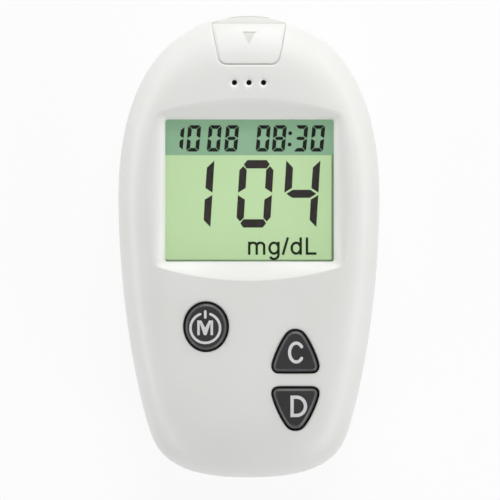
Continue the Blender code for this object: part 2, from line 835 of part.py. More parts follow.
def make_strip_port_cover():
    axis = joint_axis("strip_port_axis", (0, tab_inner, tab_bottom))
    above = case_height + overrun
    tab = place("strip_port_cover", prism(tab_outline(), tab_bottom, above), white_plastic, axis)
    combine(tab, cutter("tab_skin", cover_solid(0, front_rim)), 'INTERSECT')
    hollow = cutter("tab_hollow", prism(offset(tab_outline(), -tab_wall), tab_bottom - overrun, above))
    combine(hollow, cutter("tab_hollow_skin", cover_solid(tab_wall, front_rim)), 'INTERSECT')
    combine(tab, hollow, 'DIFFERENCE')
    for side in (-1, 1):
        low = (side * arm_place - arm_width / 2, tab_inner - arm_reach, tab_bottom + arm_rise)
        high = (side * arm_place + arm_width / 2, tab_inner + tab_wall - join_distance, low[2] + arm_height)
        join(tab, f"arm_{side + 1}", box(low, high))
    tip = tab_inner + arrow_tip_inset
    arrow = [(0, tip), (arrow_width / 2, tip + arrow_length), (-arrow_width / 2, tip + arrow_length)]
    cut(tab, "arrow", loft([draped(arrow, -arrow_depth), level(arrow, above)]))
    return tab


make_strip_port_cover()


# Display


def make_display():
    flange = (window_width + 2 * lens_border, window_length + 2 * lens_border, lens_flange)
    lens = place("display_lens", block((0, window_place), flange, flange_bottom), clear_plastic)
    raised = (window_width - 2 * gap, window_length - 2 * gap, window_edge - lens_recess - flange_bottom)
    join(lens, "lens_face", block((0, window_place), raised, flange_bottom))

    width = window_width + 2 * cell_border
    length = window_length + 2 * cell_border
    front_glass = (width, length, cell_front_glass)
    cell = place("lcd_panel", block((0, window_place), front_glass, cell_middle), display_glass)
    rear_glass = (width, length - 2 * zebra_ledge, cell_top - cell_bottom)
    join(cell, "rear_glass", block((0, window_place), rear_glass, cell_bottom))

    zebra_size = (width - 2 * zebra_side, zebra_width, cell_middle - gap - seat)
    for side, name in ((-1, "lower"), (1, "upper")):
        middle = window_place + side * (length / 2 - zebra_margin - zebra_width / 2)
        place(f"zebra_strip_{name}", block((0, middle), zebra_size, seat), grey_rubber)

    outer = (width, length + 2 * holder_end, holder_top - seat)
    holder = place("lcd_holder", block((0, window_place), outer, seat), ivory_plastic)
    opening = (2 * holder_half_width, 2 * holder_half_length, holder_top)
    cut(holder, "holder_opening", block((0, window_place), opening, seat - overrun))
    slot = (zebra_size[0] + 2 * gap, zebra_width + 2 * gap, holder_top)
    for side in (-1, 1):
        middle = window_place + side * (length / 2 - zebra_margin - zebra_width / 2)
        cut(holder, f"zebra_slot_{side + 1}", block((0, middle), slot, seat - overrun))


make_display()


# Keys with their switches


def key_solid(points, centre):
    # a flange under the cover and a stem through its hole, with a rounded top that follows the case
    stem = offset(points, -gap)
    flange = offset(points, key_flange)
    under = case_wall + gap
    rings = [level(flange, key_bottom), draped(flange, inset=under), draped(stem, inset=under)]
    for step in range(key_edge_steps + 1):
        angle = pi / 2 * step / key_edge_steps
        ring = offset(stem, -key_edge * (1 - cos(angle)))
        rings.append(draped(ring, key_rise - key_edge * (1 - sin(angle))))
    edge = offset(stem, -key_edge)
    for share in key_crown_shares:
        ring = [(centre[0] + (x - centre[0]) * share, centre[1] + (y - centre[1]) * share) for x, y in edge]
        rings.append(draped(ring, key_rise))
    return loft(rings)


def make_keys():
    for name, (points, centre) in keys.items():
        axis = joint_axis(f"press_axis_{name}", (centre[0], centre[1], case_height))
        key = place(f"button_{name}", key_solid(points, centre), key_plastic, axis)
        smooth(key)
        plunger = cylinder(centre, plunger_radius, plunger_bottom, key_bottom - gap)
        smooth(place(f"plunger_{name}", plunger, black_plastic, axis))
        can = block(centre, (switch_size, switch_size, switch_height), seat)
        switch = place(f"switch_{name}", can, bright_steel)
        soften(switch, switch_bevel, 1)
        well = cylinder(centre, plunger_radius + gap, plunger_bottom - key_travel - gap, switch_top + overrun)
        cut(switch, f"switch_well_{name}", well)


make_keys()


# Circuit board


def make_board():
    edge = -(case_wall + gap + tongue_thickness + gap)
    board = place("circuit_board", prism(offset(case_points, edge), board_bottom, board_top), board_green)
    low = board_bottom - overrun
    high = board_top + overrun
    for index, centre in enumerate(case_screw_centres()):
        cut(board, f"board_notch_{index}", cylinder(centre, case_post_radius + gap, low, high))
    for index, centre in enumerate(board_screw_centres()):
        cut(board, f"board_hole_{index}", cylinder(centre, board_shank_radius + gap, low, high))


def beside_controller(side, share):
    # a place halfway between the microcontroller and the LCD holder's side wall
    x = (controller_size[0] / 2 + holder_half_width) / 2
    return (side * x, window_place + holder_half_length * share)


def make_chips():
    chips = (("microcontroller", (0, window_place), controller_size, black_plastic),
             ("memory_chip", beside_controller(-1, memory_place_share), memory_size, black_plastic),
             ("capacitor_1", beside_controller(-1, capacitor_place_shares[0]), capacitor_size, tan_ceramic),
             ("capacitor_2", beside_controller(1, capacitor_place_shares[1]), capacitor_size, tan_ceramic))
    for name, centre, size, finish in chips:
        soften(place(name, block(centre, size, seat), finish), chip_bevel, 1)
    can = rounded_rectangle(crystal_size[0], crystal_size[1], crystal_size[0] / 2)
    can = shifted(can, beside_controller(1, crystal_place_share))
    place("crystal", prism(can, seat, seat + crystal_size[2]), bright_steel)
    buzzer = place("buzzer", block(buzzer_place, buzzer_size, seat), black_plastic)
    soften(buzzer, chip_bevel, 1)
    hole_bottom = seat + buzzer_size[2] / 2
    hole = cylinder(buzzer_place, buzzer_hole, hole_bottom, hole_bottom + buzzer_size[2])
    cut(buzzer, "buzzer_hole_tool", hole)


make_board()
make_chips()


# Strip connector with its three spring contacts


def make_strip_connector():
    half = connector_width / 2
    housing = box((-half, connector_end, seat), (half, connector_mouth, tab_bottom + connector_roof))
    body = place("strip_connector", housing, black_plastic)
    slot_low = (-strip_slot_width / 2, connector_end + connector_back, strip_floor)
    cut(body, "connector_slot", box(slot_low, (strip_slot_width / 2, connector_mouth + overrun, tab_bottom)))
    leaf_back = connector_end + connector_back + leaf_room
    leaf_front = leaf_back + leaf_length
    arm = strip_floor - gap
    for number, name in ((-1, "left"), (0, "middle"), (1, "right")):
        middle = number * leaf_spacing
        room = leaf_width / 2 + leaf_room
        channel_low = (middle - room, leaf_back - leaf_room, seat - overrun)
        channel = box(channel_low, (middle + room, leaf_front + leaf_room, strip_floor + leaf_lift))
        cut(body, f"contact_channel_{name}", channel)
        outline = [(leaf_front, seat), (leaf_front, seat + leaf_thickness),
                   (leaf_back + leaf_thickness, seat + leaf_thickness),
                   (leaf_back + leaf_thickness, arm - leaf_thickness),
                   (leaf_front, arm - leaf_thickness + leaf_lift + gap),
                   (leaf_front, arm + leaf_lift + gap), (leaf_back, arm), (leaf_back, seat)]
        leaf = slab(outline, middle - leaf_width / 2, middle + leaf_width / 2, "X")
        place(f"strip_contact_{name}", leaf, gold_plate)


make_strip_connector()


# Screws


def cross(length, width):
    long = length / 2
    short = width / 2
    quarter = [(long, -short), (long, short), (short, short)]
    points = []
    for turn in range(4):
        c = round(cos(turn * pi / 2))
        s = round(sin(turn * pi / 2))
        points += [(x * c - y * s, x * s + y * c) for x, y in quarter]
    return points


def make_screw(name, centre, bottom, head_radius, head_height, shank_radius, length):
    # the head faces the rear of the case
    head_top = bottom + head_height
    tip = head_top + length
    profile = [(0, tip), (shank_radius - screw_point / 2, tip), (shank_radius, tip - screw_point),
               (shank_radius, head_top), (head_radius, head_top), (head_radius, bottom), (0, bottom)]
    screw = place(name, turned(profile), bright_steel)
    screw.location = (centre[0], centre[1], 0)
    spin(screw, screw_steps)
    tool = cutter(f"{name}_cross", prism(shifted(cross(cross_length, cross_width), centre), bottom - overrun,
                                         bottom + cross_depth))
    combine(screw, tool, 'DIFFERENCE')


def make_screws():
    corners = ("upper_left", "upper_right", "lower_left", "lower_right")
    for corner, centre in zip(corners, case_screw_centres()):
        make_screw(f"case_screw_{corner}", centre, case_screw_recess, case_head_radius, case_head_height,
                   case_shank_radius, case_screw_length)
    head_bottom = board_bottom - gap - board_head_height
    for name, centre in zip(("board_screw_left", "board_screw_right"), board_screw_centres()):
        make_screw(name, centre, head_bottom, board_head_radius, board_head_height, board_shank_radius,
                   board_screw_length)


make_screws()


# Battery, contacts and door


def make_battery():
    cap = cell_radius - cell_cap_inset
    step = battery_top - cell_cap_step
    profile = [(0, battery_top), (cap, battery_top), (cap, step), (cell_radius - cell_edge, step),
               (cell_radius, step - cell_edge), (cell_radius, battery_bottom + cell_edge),
               (cell_radius - cell_edge, battery_bottom), (0, battery_bottom)]
    cell = place("coin_cell", turned(profile), bright_steel)
    cell.location = (0, battery_place, 0)
    spin(cell, round_steps)


def make_battery_contacts():
    foot_top = board_bottom - gap
    foot_bottom = foot_top - contact_thickness
    bend = battery_place + finger_end
    finger = [(bend - finger_length, battery_top + gap), (bend + contact_thickness, battery_top + gap),
              (bend + contact_thickness, foot_bottom), (bend + contact_thickness + contact_foot, foot_bottom),
              (bend + contact_thickness + contact_foot, foot_top), (bend, foot_top),
              (bend, battery_top + gap + contact_thickness),
              (bend - finger_length, battery_top + gap + contact_thickness)]
    leaf = slab(finger, -contact_width / 2, contact_width / 2, "X")
    place("battery_contact_negative", leaf, bright_steel)
    side = cell_radius + gap
    clip = [(side, battery_bottom + clip_lift), (side + contact_thickness, battery_bottom + clip_lift),
            (side + contact_thickness, foot_bottom), (side + contact_thickness + contact_foot, foot_bottom),
            (side + contact_thickness + contact_foot, foot_top), (side, foot_top)]
    leaf = slab(clip, battery_place - clip_width / 2, battery_place + clip_width / 2, "Y")
    place("battery_contact_positive", leaf, bright_steel)


def make_battery_door():
    hinge = joint_axis("battery_door_hinge", (0, door_front, door_recess))
    outline = shifted(rounded_rectangle(door_width, door_length, door_corner), (0, battery_place))
    door = place("battery_door", prism(outline, door_recess, door_top), white_plastic, hinge)
    hook_bottom = door_top + bond
    for side in (-1, 1):
        left = side * hook_place - hook_width / 2
        right = side * hook_place + hook_width / 2
        profile = [(door_front - hook_root, door_top - bond), (door_front, door_top - bond),
                   (door_front, hook_bottom), (door_front + hook_reach, hook_bottom),
                   (door_front + hook_reach, hook_bottom + hook_thickness),
                   (door_front - hook_root, hook_bottom + hook_thickness)]
        join(door, f"hook_{side + 1}", slab(profile, left, right, "X"))
    low = (-latch_width / 2, door_back + latch_inset, door_top - bond)
    high = (latch_width / 2, door_back + latch_inset + latch_thickness, door_top + latch_height)
    join(door, "latch", box(low, high))


make_battery()
make_battery_contacts()
make_battery_door()


# Rear label, left blank

label_points = shifted(rounded_rectangle(label_width, label_length, label_corner), (0, label_place))
place("rear_label", prism(label_points, label_recess, label_recess + label_thickness), label_film)
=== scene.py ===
# Looks of the blood glucose meter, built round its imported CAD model.
# Sizes are in millimetres, in the CAD's own frame: +Z out of the display, +Y towards the strip port.

import json
from math import cos, hypot, pi, radians, sin

import bmesh
import bpy
import numpy as np
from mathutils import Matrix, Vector, kdtree
from mathutils.geometry import delaunay_2d_cdt

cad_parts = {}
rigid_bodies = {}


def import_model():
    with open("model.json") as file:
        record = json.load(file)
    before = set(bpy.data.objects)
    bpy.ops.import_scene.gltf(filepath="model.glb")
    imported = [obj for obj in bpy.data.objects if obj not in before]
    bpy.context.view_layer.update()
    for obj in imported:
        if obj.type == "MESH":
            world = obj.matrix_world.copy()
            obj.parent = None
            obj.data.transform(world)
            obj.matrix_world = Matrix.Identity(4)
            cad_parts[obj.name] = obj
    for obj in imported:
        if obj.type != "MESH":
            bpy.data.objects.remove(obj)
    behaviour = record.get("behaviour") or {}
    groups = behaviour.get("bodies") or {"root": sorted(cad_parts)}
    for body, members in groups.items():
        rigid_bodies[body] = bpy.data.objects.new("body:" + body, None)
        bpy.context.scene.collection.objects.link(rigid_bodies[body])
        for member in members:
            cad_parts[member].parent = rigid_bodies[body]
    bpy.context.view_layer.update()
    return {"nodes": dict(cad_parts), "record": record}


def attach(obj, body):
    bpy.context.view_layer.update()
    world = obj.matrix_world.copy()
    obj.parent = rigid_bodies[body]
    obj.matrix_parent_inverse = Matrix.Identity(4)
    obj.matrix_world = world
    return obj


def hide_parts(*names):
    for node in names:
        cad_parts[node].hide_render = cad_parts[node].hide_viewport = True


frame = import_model()
nodes = frame["nodes"]
mm = 0.001
print("frame loaded:", len(nodes), "nodes")


# Outlines, as arrays of points that run anticlockwise

caseForm = {
    "length": 92.4,
    "width": 52.2,
    "top": 19.0,
    "frontRim": 8.15,
    "rearRim": 7.85,
    "sidePower": 8,
    "crownPower": 2.2,
    "rearBelly": 0.6,           # how far the rear curve would pass the flat rest face
    "wall": 1.8,
    "gap": 0.3,
    "edgeRadius": 0.15,
    "edgeSteps": 3,
    "spacings": (0.6, 1.2),     # between points on the outside and on the inside
    "meanReach": 0.63,          # share of the width
    "samples": 4000,            # of the crown's curve
    # the outline, in shares of half the width and half the length
    "crown": 0.577,
    "shoulder": 0.545,
    "widest": 0.210,
    "flank": 0.305,
    "hip": (0.772, 0.774),
    "hipLean": 16.6,
    "hipReach": (0.297, 0.119),
    "toe": 0.612,
    "curveSteps": (70, 70, 56),
}


def bezier(start, leave, reach, end, steps):
    t = np.arange(steps)[:, None] / steps
    u = 1 - t
    a, b, c, d = (np.array(corner, float) for corner in (start, leave, reach, end))
    return u ** 3 * a + 3 * u * u * t * b + 3 * u * t * t * c + t ** 3 * d


def bothSides(right, foot):
    # right runs down one side, from the top of the middle line
    side = np.vstack([right, [foot]])
    return np.vstack([side[::-1], side[1:-1] * (-1, 1)])


def caseOutline():
    half = caseForm["width"] / 2
    end = caseForm["length"] / 2
    widest = (half, end * caseForm["widest"])
    x, y = half * caseForm["hip"][0], -end * caseForm["hip"][1]
    lean = radians(caseForm["hipLean"])
    above, below = (end * share for share in caseForm["hipReach"])
    upper, middle, lower = caseForm["curveSteps"]
    right = np.vstack([
        bezier((0, end), (half * caseForm["crown"], end), (half, widest[1] + end * caseForm["shoulder"]),
               widest, upper),
        bezier(widest, (half, widest[1] - end * caseForm["flank"]),
               (x + sin(lean) * above, y + cos(lean) * above), (x, y), middle),
        bezier((x, y), (x - sin(lean) * below, y - cos(lean) * below), (half * caseForm["toe"], -end),
               (0, -end), lower),
    ])
    return bothSides(right, (0, -end))


def offsetLoop(points, distance):
    # moves a loop out by a distance, or in where it is negative
    sides = points - np.roll(points, 1, axis=0)
    before = sides[:, ::-1] * (1, -1) / np.linalg.norm(sides, axis=1)[:, None]
    normal = before + np.roll(before, -1, axis=0)
    normal /= np.linalg.norm(normal, axis=1)[:, None]
    return points + normal * (distance / (before * normal).sum(axis=1))[:, None]


def roundedRectangle(width, length, radius, centre=(0, 0), steps=8):
    x, y = width / 2 - radius, length / 2 - radius
    corners = ((0, 1, 1), (90, -1, 1), (180, -1, -1), (270, 1, -1))
    return np.vstack([arc((centre[0] + side * x, centre[1] + end * y), (radius, radius), start, start + 90,
                          steps + 1) for start, side, end in corners])


def arc(centre, radii, start, end, steps=40):
    angles = np.radians(np.linspace(start, end, steps))
    return np.column_stack([centre[0] + radii[0] * np.cos(angles), centre[1] + radii[1] * np.sin(angles)])


def circle(width, centre, count, length=None):
    return arc(centre, (width / 2, (length or width) / 2), 0, 360, count + 1)[:-1]


def spaced(points, count=None, spacing=None):
    # the same line with points at even distances: an open one by their count, a loop by their spacing
    if spacing:
        points = np.vstack([points, points[:1]])
    along = np.concatenate([[0], np.cumsum(np.linalg.norm(np.diff(points, axis=0), axis=1))])
    places = np.linspace(0, along[-1], count or int(round(along[-1] / spacing)) + 1)
    if spacing:
        places = places[:-1]
    return np.column_stack([np.interp(places, along, points[:, axis]) for axis in (0, 1)])


def polar(points, centre=(0, 0)):
    # the direction and the distance of each point from a centre
    offset = points - np.array(centre)
    return np.arctan2(offset[:, 1], offset[:, 0]), np.hypot(*offset.T)


def polarReach(points, centre=(0, 0)):
    # how far a loop reaches from a centre in each direction
    angle, reach = polar(points, centre)
    order = np.argsort(angle)
    return lambda directions: np.interp(directions, angle[order], reach[order], period=2 * pi)


def insideLoop(points, loop):
    inside = np.zeros(len(points), bool)
    x, y = points.T
    for (x0, y0), (x1, y1) in zip(loop, np.roll(loop, -1, axis=0)):
        if y0 != y1:
            inside ^= ((y0 > y) != (y1 > y)) & (x < (x1 - x0) * (y - y0) / (y1 - y0) + x0)
    return inside


# Surfaces over the plan: a height, and a way to lay the surface out flat so that steep parts get points too


def crown(share):
    # the climb of a cover's curve at a share of its reach
    return (1 - share ** caseForm["sidePower"]) ** (1 / caseForm["crownPower"])


def crownReach(climb):
    # the share of its reach at which a cover's curve has made its climb
    return (1 - climb ** caseForm["crownPower"]) ** (1 / caseForm["sidePower"])


def makeDome(inset):
    reach = polarReach(offsetLoop(outline, -inset) if inset else outline)
    rise = caseForm["top"] - inset - caseForm["frontRim"]
    across = caseForm["width"] * caseForm["meanReach"]
    share = np.sin(np.linspace(0, pi / 2, caseForm["samples"]))
    steps = np.hypot(np.diff(share) * across, np.diff(rise * crown(share))) / across
    laidOut = np.concatenate([[0], np.cumsum(steps)])

    def height(points):
        angle, radius = polar(points)
        return caseForm["frontRim"] + rise * crown(np.minimum(radius / reach(angle), 1))

    def moved(points, source, target):
        angle, radius = polar(points)
        far = reach(angle)
        radius = np.maximum(radius, 1e-9)
        return points * (np.interp(radius / far, source, target) * far / radius)[:, None]

    return {"height": height,
            "toFlat": lambda points: moved(points, share, laidOut),
            "fromFlat": lambda points: moved(points, laidOut, share)}


def levelSurface(height):
    return {"height": lambda points: np.full(len(points), height),
            "toFlat": np.asarray, "fromFlat": np.asarray}


def raised(surface, lift):
    return {**surface, "height": lambda points: surface["height"](points) + lift}


outline = caseOutline()
dome = makeDome(0)


# Meshes


def ringEdges(loops):
    # the sides of loops whose points are numbered one loop after another
    edges = []
    start = 0
    for loop in loops:
        span = range(start, start + len(loop))
        edges += list(zip(span, [*span[1:], span[0]]))
        start += len(loop)
    return edges


def triangulate(points, edges):
    # places, triangles of some area, and the points that each place comes from
    made = delaunay_2d_cdt([Vector(point) for point in points], edges, [], 0, 1e-6)
    places = np.array([tuple(point) for point in made[0]])
    faces = np.array([tuple(face) for face in made[2]])
    first, second = (places[faces[:, k]] - places[faces[:, 0]] for k in (1, 2))
    area = np.abs(first[:, 0] * second[:, 1] - first[:, 1] * second[:, 0]) / 2
    return places, faces[area > 1e-5], made[3]


class Skin:
    # a mesh in the making, whose loops of points are joined by bands or filled
    rowShare = 0.866            # height of an even triangle with sides of 1
    clearShare = 0.6            # of the spacing, kept free beside the boundary and the holes

    def __init__(self):
        self.points = []
        self.faces = []

    def loop(self, plan, height):
        # height is one number, one for each point, or a surface
        if isinstance(height, dict):
            height = height["height"](np.asarray(plan))
        heights = np.broadcast_to(height, len(plan))
        first = len(self.points)
        self.points += [(x, y, z) for (x, y), z in zip(plan, heights)]
        return list(range(first, len(self.points)))

    def band(self, *loops):
        for upper, lower in zip(loops, loops[1:]):
            for a, b, c, d in zip(upper, upper[1:] + upper[:1], lower[1:] + lower[:1], lower):
                self.faces.append((a, d, c, b))

    def cap(self, loop):
        self.faces.append(tuple(loop))

    def fill(self, boundary, holes, surface, spacing, lines=()):
        # triangles between a boundary and its holes, over points spread evenly on the laid-out surface
        loops = [boundary, *holes]
        numbers = [number for loop in loops for number in loop]
        edges = ringEdges(loops)
        rims = [surface["toFlat"](np.array([self.points[number][:2] for number in loop])) for loop in loops]

        def within(points):
            inside, *inHoles = (insideLoop(points, rim) for rim in rims)
            return inside & ~np.any(inHoles, axis=0)

        flats = list(rims)
        for line in lines:
            edges += [(len(numbers) + step, len(numbers) + step + 1) for step in range(len(line) - 1)]
            numbers += self.loop(line, surface)
            flats.append(surface["toFlat"](np.array(line)))
        fixed = np.vstack(flats)
        low = rims[0].min(axis=0)
        high = rims[0].max(axis=0)
        rows = np.arange(low[1], high[1], spacing * self.rowShare)
        columns = np.arange(low[0], high[0], spacing)
        grid = np.array([(x + spacing / 2 * (row % 2), y) for row, y in enumerate(rows) for x in columns])
        grid = grid[within(grid)]
        near = kdtree.KDTree(len(fixed))
        for number, (x, y) in enumerate(fixed):
            near.insert((x, y, 0), number)
        near.balance()
        clear = spacing * self.clearShare
        grid = grid[[near.find((x, y, 0))[2] > clear for x, y in grid]].reshape(-1, 2)
        numbers += self.loop(surface["fromFlat"](grid), surface)
        places, faces, sources = triangulate(np.vstack([fixed, grid]), edges)
        for face in faces[within(places[faces].mean(axis=1))]:
            self.faces.append(tuple(numbers[sources[corner][0]] for corner in face))

    def make(self, name):
        mesh = bpy.data.meshes.new(name)
        mesh.from_pydata([(x * mm, y * mm, z * mm) for x, y, z in self.points], [], self.faces)
        shape = bmesh.new()
        shape.from_mesh(mesh)
        bmesh.ops.remove_doubles(shape, verts=shape.verts, dist=1e-4 * mm)
        bmesh.ops.dissolve_degenerate(shape, dist=1e-4 * mm, edges=shape.edges)
        loose = [vert for vert in shape.verts if not vert.link_faces]
        bmesh.ops.delete(shape, geom=loose, context='VERTS')
        bmesh.ops.recalc_face_normals(shape, faces=shape.faces)
        shape.to_mesh(mesh)
        shape.free()
        piece = bpy.data.objects.new(name, mesh)
        bpy.context.scene.collection.objects.link(piece)
        shade(piece)
        return piece


def shade(piece):
    piece.data.shade_smooth()
    piece.data.set_sharp_from_angle(angle=radians(40))


def roundEdge(skin, plan, surface, across, down, steps):
    # a rounded edge from a surface to the plan: across is positive round a hole, down is negative underneath
    loops = []
    for angle in np.arange(steps + 1) * pi / 2 / steps:
        ring = offsetLoop(plan, across * (1 - sin(angle)))
        loops.append(skin.loop(ring, surface["height"](ring) - down * (1 - cos(angle))))
    return loops


def prism(plan, bottom, top):
    skin = Skin()
    lower = skin.loop(plan, bottom)
    upper = skin.loop(plan, top)
    skin.band(upper, lower)
    skin.cap(upper)
    skin.cap(lower[::-1])
    return skin


def box(low, high):
    plan = [(low[0], low[1]), (high[0], low[1]), (high[0], high[1]), (low[0], high[1])]
    return prism(plan, low[2], high[2])


def combine(piece, operation, *skins):
    # joins solids to a piece, or cuts them out of it
    whole = Skin()
    for skin in skins:
        start = len(whole.points)
        whole.points += skin.points
        whole.faces += [tuple(number + start for number in face) for face in skin.faces]
    tool = whole.make("tool")
    change = piece.modifiers.new("combine", 'BOOLEAN')
    change.operation = operation
    change.object = tool
    solved = piece.evaluated_get(bpy.context.evaluated_depsgraph_get())
    piece.data = bpy.data.meshes.new_from_object(solved)
    piece.modifiers.clear()
    bpy.data.objects.remove(tool)
    shade(piece)


# Dish round the display window

dishForm = {
    "window": (33.6, 28.33),
    "centre": (0.1, 11.165),
    "windowCorner": 0.35,
    "windowEdge": 17.0,
    "lip": 0.8,
    "windowRound": 0.2,
    "topCorner": (19.1, 26.7),
    "footCorner": (19.0, -3.9),
    "topBulge": 3.0,
    "sideBulge": 1.9,
    "footBulge": 2.95,
    "directions": 1440,
    "ringPoints": 420,
    "cornerSpread": 4,          # degrees over which the barrel's corners are rounded
    "footPower": 1.15,          # crisp border at the foot, soft ones at the sides and the top
    "sidePower": 2.0,
    "topPower": 1.7,
    "footFrom": 0.45,           # downward slant at which the crisp border begins, and how soon it is full
    "footBlend": 0.3,
    "lines": (0.12, 0.25, 0.4, 0.55, 0.7, 0.82, 0.91, 0.96, 0.985, 1.0, 1.03),
}


def dishOutline():
    top = dishForm["topCorner"]
    foot = dishForm["footCorner"]
    corners = np.array([foot, top, (-top[0], top[1]), (-foot[0], foot[1])])
    bulges = (dishForm["sideBulge"], dishForm["topBulge"], dishForm["sideBulge"], dishForm["footBulge"])
    points = []
    for corner, following, bulge in zip(corners, np.roll(corners, -1, axis=0), bulges):
        along = following - corner
        out = np.array((along[1], -along[0])) / hypot(*along)
        points += [corner + along * t + out * 4 * bulge * t * (1 - t) for t in np.arange(60) / 60]
    return np.array(points)


windowPlan = roundedRectangle(*dishForm["window"], dishForm["windowCorner"], dishForm["centre"])
windowLoop = spaced(windowPlan, spacing=0.4)
innerReach = polarReach(offsetLoop(spaced(windowPlan, spacing=0.1), dishForm["windowRound"]),
                        dishForm["centre"])


def dishReach():
    # the barrel's reach from the middle of the window, with its corners rounded
    count = dishForm["directions"]
    directions = np.arange(count) * 2 * pi / count - pi
    reach = polarReach(dishOutline(), dishForm["centre"])(directions)
    spread = dishForm["cornerSpread"] * count // 360
    weights = np.hanning(2 * spread + 1)
    wrapped = np.concatenate([reach[-spread:], reach, reach[:spread]])
    reach = np.convolve(wrapped, weights / weights.sum(), "valid")
    return lambda angles: np.interp(angles, directions, reach, period=2 * pi)


outerReach = dishReach()


def frontHeight(points):
    # the crown, sunk to the window's edge inside the dish
    angle, radius = polar(points, dishForm["centre"])
    inner = innerReach(angle)
    share = np.clip((radius - inner) / (outerReach(angle) - inner), 0, 1)
    side = dishForm["sidePower"]
    atFoot = np.clip((-np.sin(angle) - dishForm["footFrom"]) / dishForm["footBlend"], 0, 1)
    atTop = np.clip(np.sin(angle), 0, 1)
    power = side + (dishForm["footPower"] - side) * atFoot + (dishForm["topPower"] - side) * atTop
    edge = dishForm["windowEdge"]
    return edge + (dome["height"](points) - edge) * (1 - (1 - share) ** power)


front = {**dome, "height": frontHeight}


def dishRing(share):
    angles = np.arange(dishForm["ringPoints"]) * 2 * pi / dishForm["ringPoints"]
    reach = innerReach(angles) + share * (outerReach(angles) - innerReach(angles))
    ring = np.column_stack([np.cos(angles) * reach, np.sin(angles) * reach]) + np.array(dishForm["centre"])
    return np.vstack([ring, ring[:1]])


# Keys

keyForms = {
    "m": {"size": (9.1, 10.1), "centre": (-8.56, -16.0)},
    "c": {"size": (9.6, 8.9), "centre": (9.24, -20.88), "points": 1},       # 1 up, -1 down
    "d": {"size": (9.6, 8.9), "centre": (9.24, -32.3), "points": -1},
}
keyMake = {
    "rise": 0.487,              # above the case
    "edge": 0.8,                # rounding of the top edge
    "edgeSteps": 10,
    "gap": 0.38,
    "underside": 15.0,
    "flange": 0.7,
    "holeRound": 0.28,
    "roundPoints": 110,
    "spacing": 0.3,
    "topSpacing": 0.5,
    "polished": (0.45, 0.94),   # upward slant of the faces given a lighter colour as a painted highlight
    # one side of the rounded triangle, in shares of half its width and length
    "curves": (((0, 1), (0.24, 1), (0.365, 0.87), (0.487, 0.663), 24),
               ((0.487, 0.663), (0.675, 0.35), (0.885, -0.14), (0.988, -0.562), 30),
               ((0.988, -0.562), (1.035, -0.77), (0.955, -0.985), (0.70, -1), 24),
               ((0.70, -1), (0.5, -1), (0.2, -1), (0, -1), 12)),
}
keyTop = raised(dome, keyMake["rise"])


def keyOutline(form):
    width, length = form["size"]
    if "points" not in form:
        return circle(width, form["centre"], keyMake["roundPoints"], length)
    right = np.vstack([bezier(*curve) for curve in keyMake["curves"]]) * (width / 2, length / 2)
    loop = bothSides(right, (0, -length / 2)) * form["points"] + form["centre"]
    return spaced(loop, spacing=keyMake["spacing"])


keyLoops = {name: keyOutline(form) for name, form in keyForms.items()}


# Strip port: the tab at the top end, its pocket and its slot

portForm = {
    "innerEnd": 36.5,
    "innerWidth": 11.8,
    "outerEnd": 44.5,
    "outerWidth": 14.2,
    "corner": 1.5,
    "floor": 11.5,
    "underside": 11.8,
    "edge": 0.27,
    "edgeSteps": 3,
    "slot": (8.0, 10.35, 10.95),        # width, floor and roof
    "slope": 0.38,              # how far the ledge beyond the tab falls towards the end
    "slopeReach": 1.2,
    "backWall": 34.9,
    "behind": 3,                # how far the openings reach past the back wall and the end of the case
    "block": (9.6, 42, 9.6),    # half width, end and underside of the thick part round the pocket
    "blockSlack": 0.02,
    "blockSide": (0.995, 0.05),         # the foot of the block's side, as a share of its width and a step out
    "endSpan": 0.2,             # from the tab's end to where the pocket's rim begins to run across
    "rimDrop": 0.6,             # share of the edge by which the rim's foot lies under its top at the end
    "spacing": 0.8,
    "loopPoints": (42, 120),            # of the pocket's rim, across the end and round the tab
    "armPlace": 4.4,
    "armWidth": 1.6,
    "arms": (13.5, 14.9),       # underside and top
    "armEnd": 30.2,
    "armRoot": 37.5,
}
soundHoles = {
    "y": 32.67, "spacing": 2.9, "dimple": 1.0, "radius": 0.53, "depth": 0.3, "power": 1.25,
    "shares": (0, 0.12, 0.3, 0.5, 0.7, 0.85, 0.95, 1),
}


def tabSide(gap, far):
    # the tab's outline with a clearance, from its upper left corner round its inner end to the right
    half = portForm["innerWidth"] / 2 - portForm["corner"]
    corner = (portForm["corner"],) * 2
    middle = portForm["innerEnd"] + portForm["corner"]
    outer = portForm["outerWidth"] / 2
    end = portForm["outerEnd"]
    points = np.vstack([[(-outer, end)], arc((-half, middle), corner, 180, 270, 13),
                        arc((half, middle), corner, 270, 360, 13), [(outer, end)]])
    moved = offsetLoop(points, gap)
    moved[0] = (-outer - gap, end - gap)
    moved[-1] = (outer + gap, end - gap)
    if far:
        moved = np.vstack([[(-outer - gap, far)], moved, [(outer + gap, far)]])
    return moved


def pocketLoop(gap, height):
    # the pocket's outline: the tab's sides, then round the end of the case where its crown has a height
    climb = (height - caseForm["frontRim"]) / (caseForm["top"] - caseForm["frontRim"])
    contour = outline * crownReach(climb)
    half = portForm["outerWidth"] / 2 + gap
    contour = contour[contour[:, 1] > portForm["armEnd"]]
    contour = contour[np.argsort(contour[:, 0])]
    acrossEnd, roundTab = portForm["loopPoints"]
    across = np.linspace(half, -half, acrossEnd)
    upper = np.column_stack([across, np.interp(across, contour[:, 0], contour[:, 1])])
    return np.vstack([upper[1:-1], spaced(tabSide(gap, upper[0, 1]), roundTab)])


def ledgeHeight(points):
    # the pocket's floor, which falls away beyond the tab
    beyond = np.clip((points[:, 1] - portForm["outerEnd"]) / portForm["slopeReach"], 0, 1)
    return portForm["floor"] - portForm["slope"] * beyond


print("outlines ready:", len(outline), "points round the case")


# Finishes


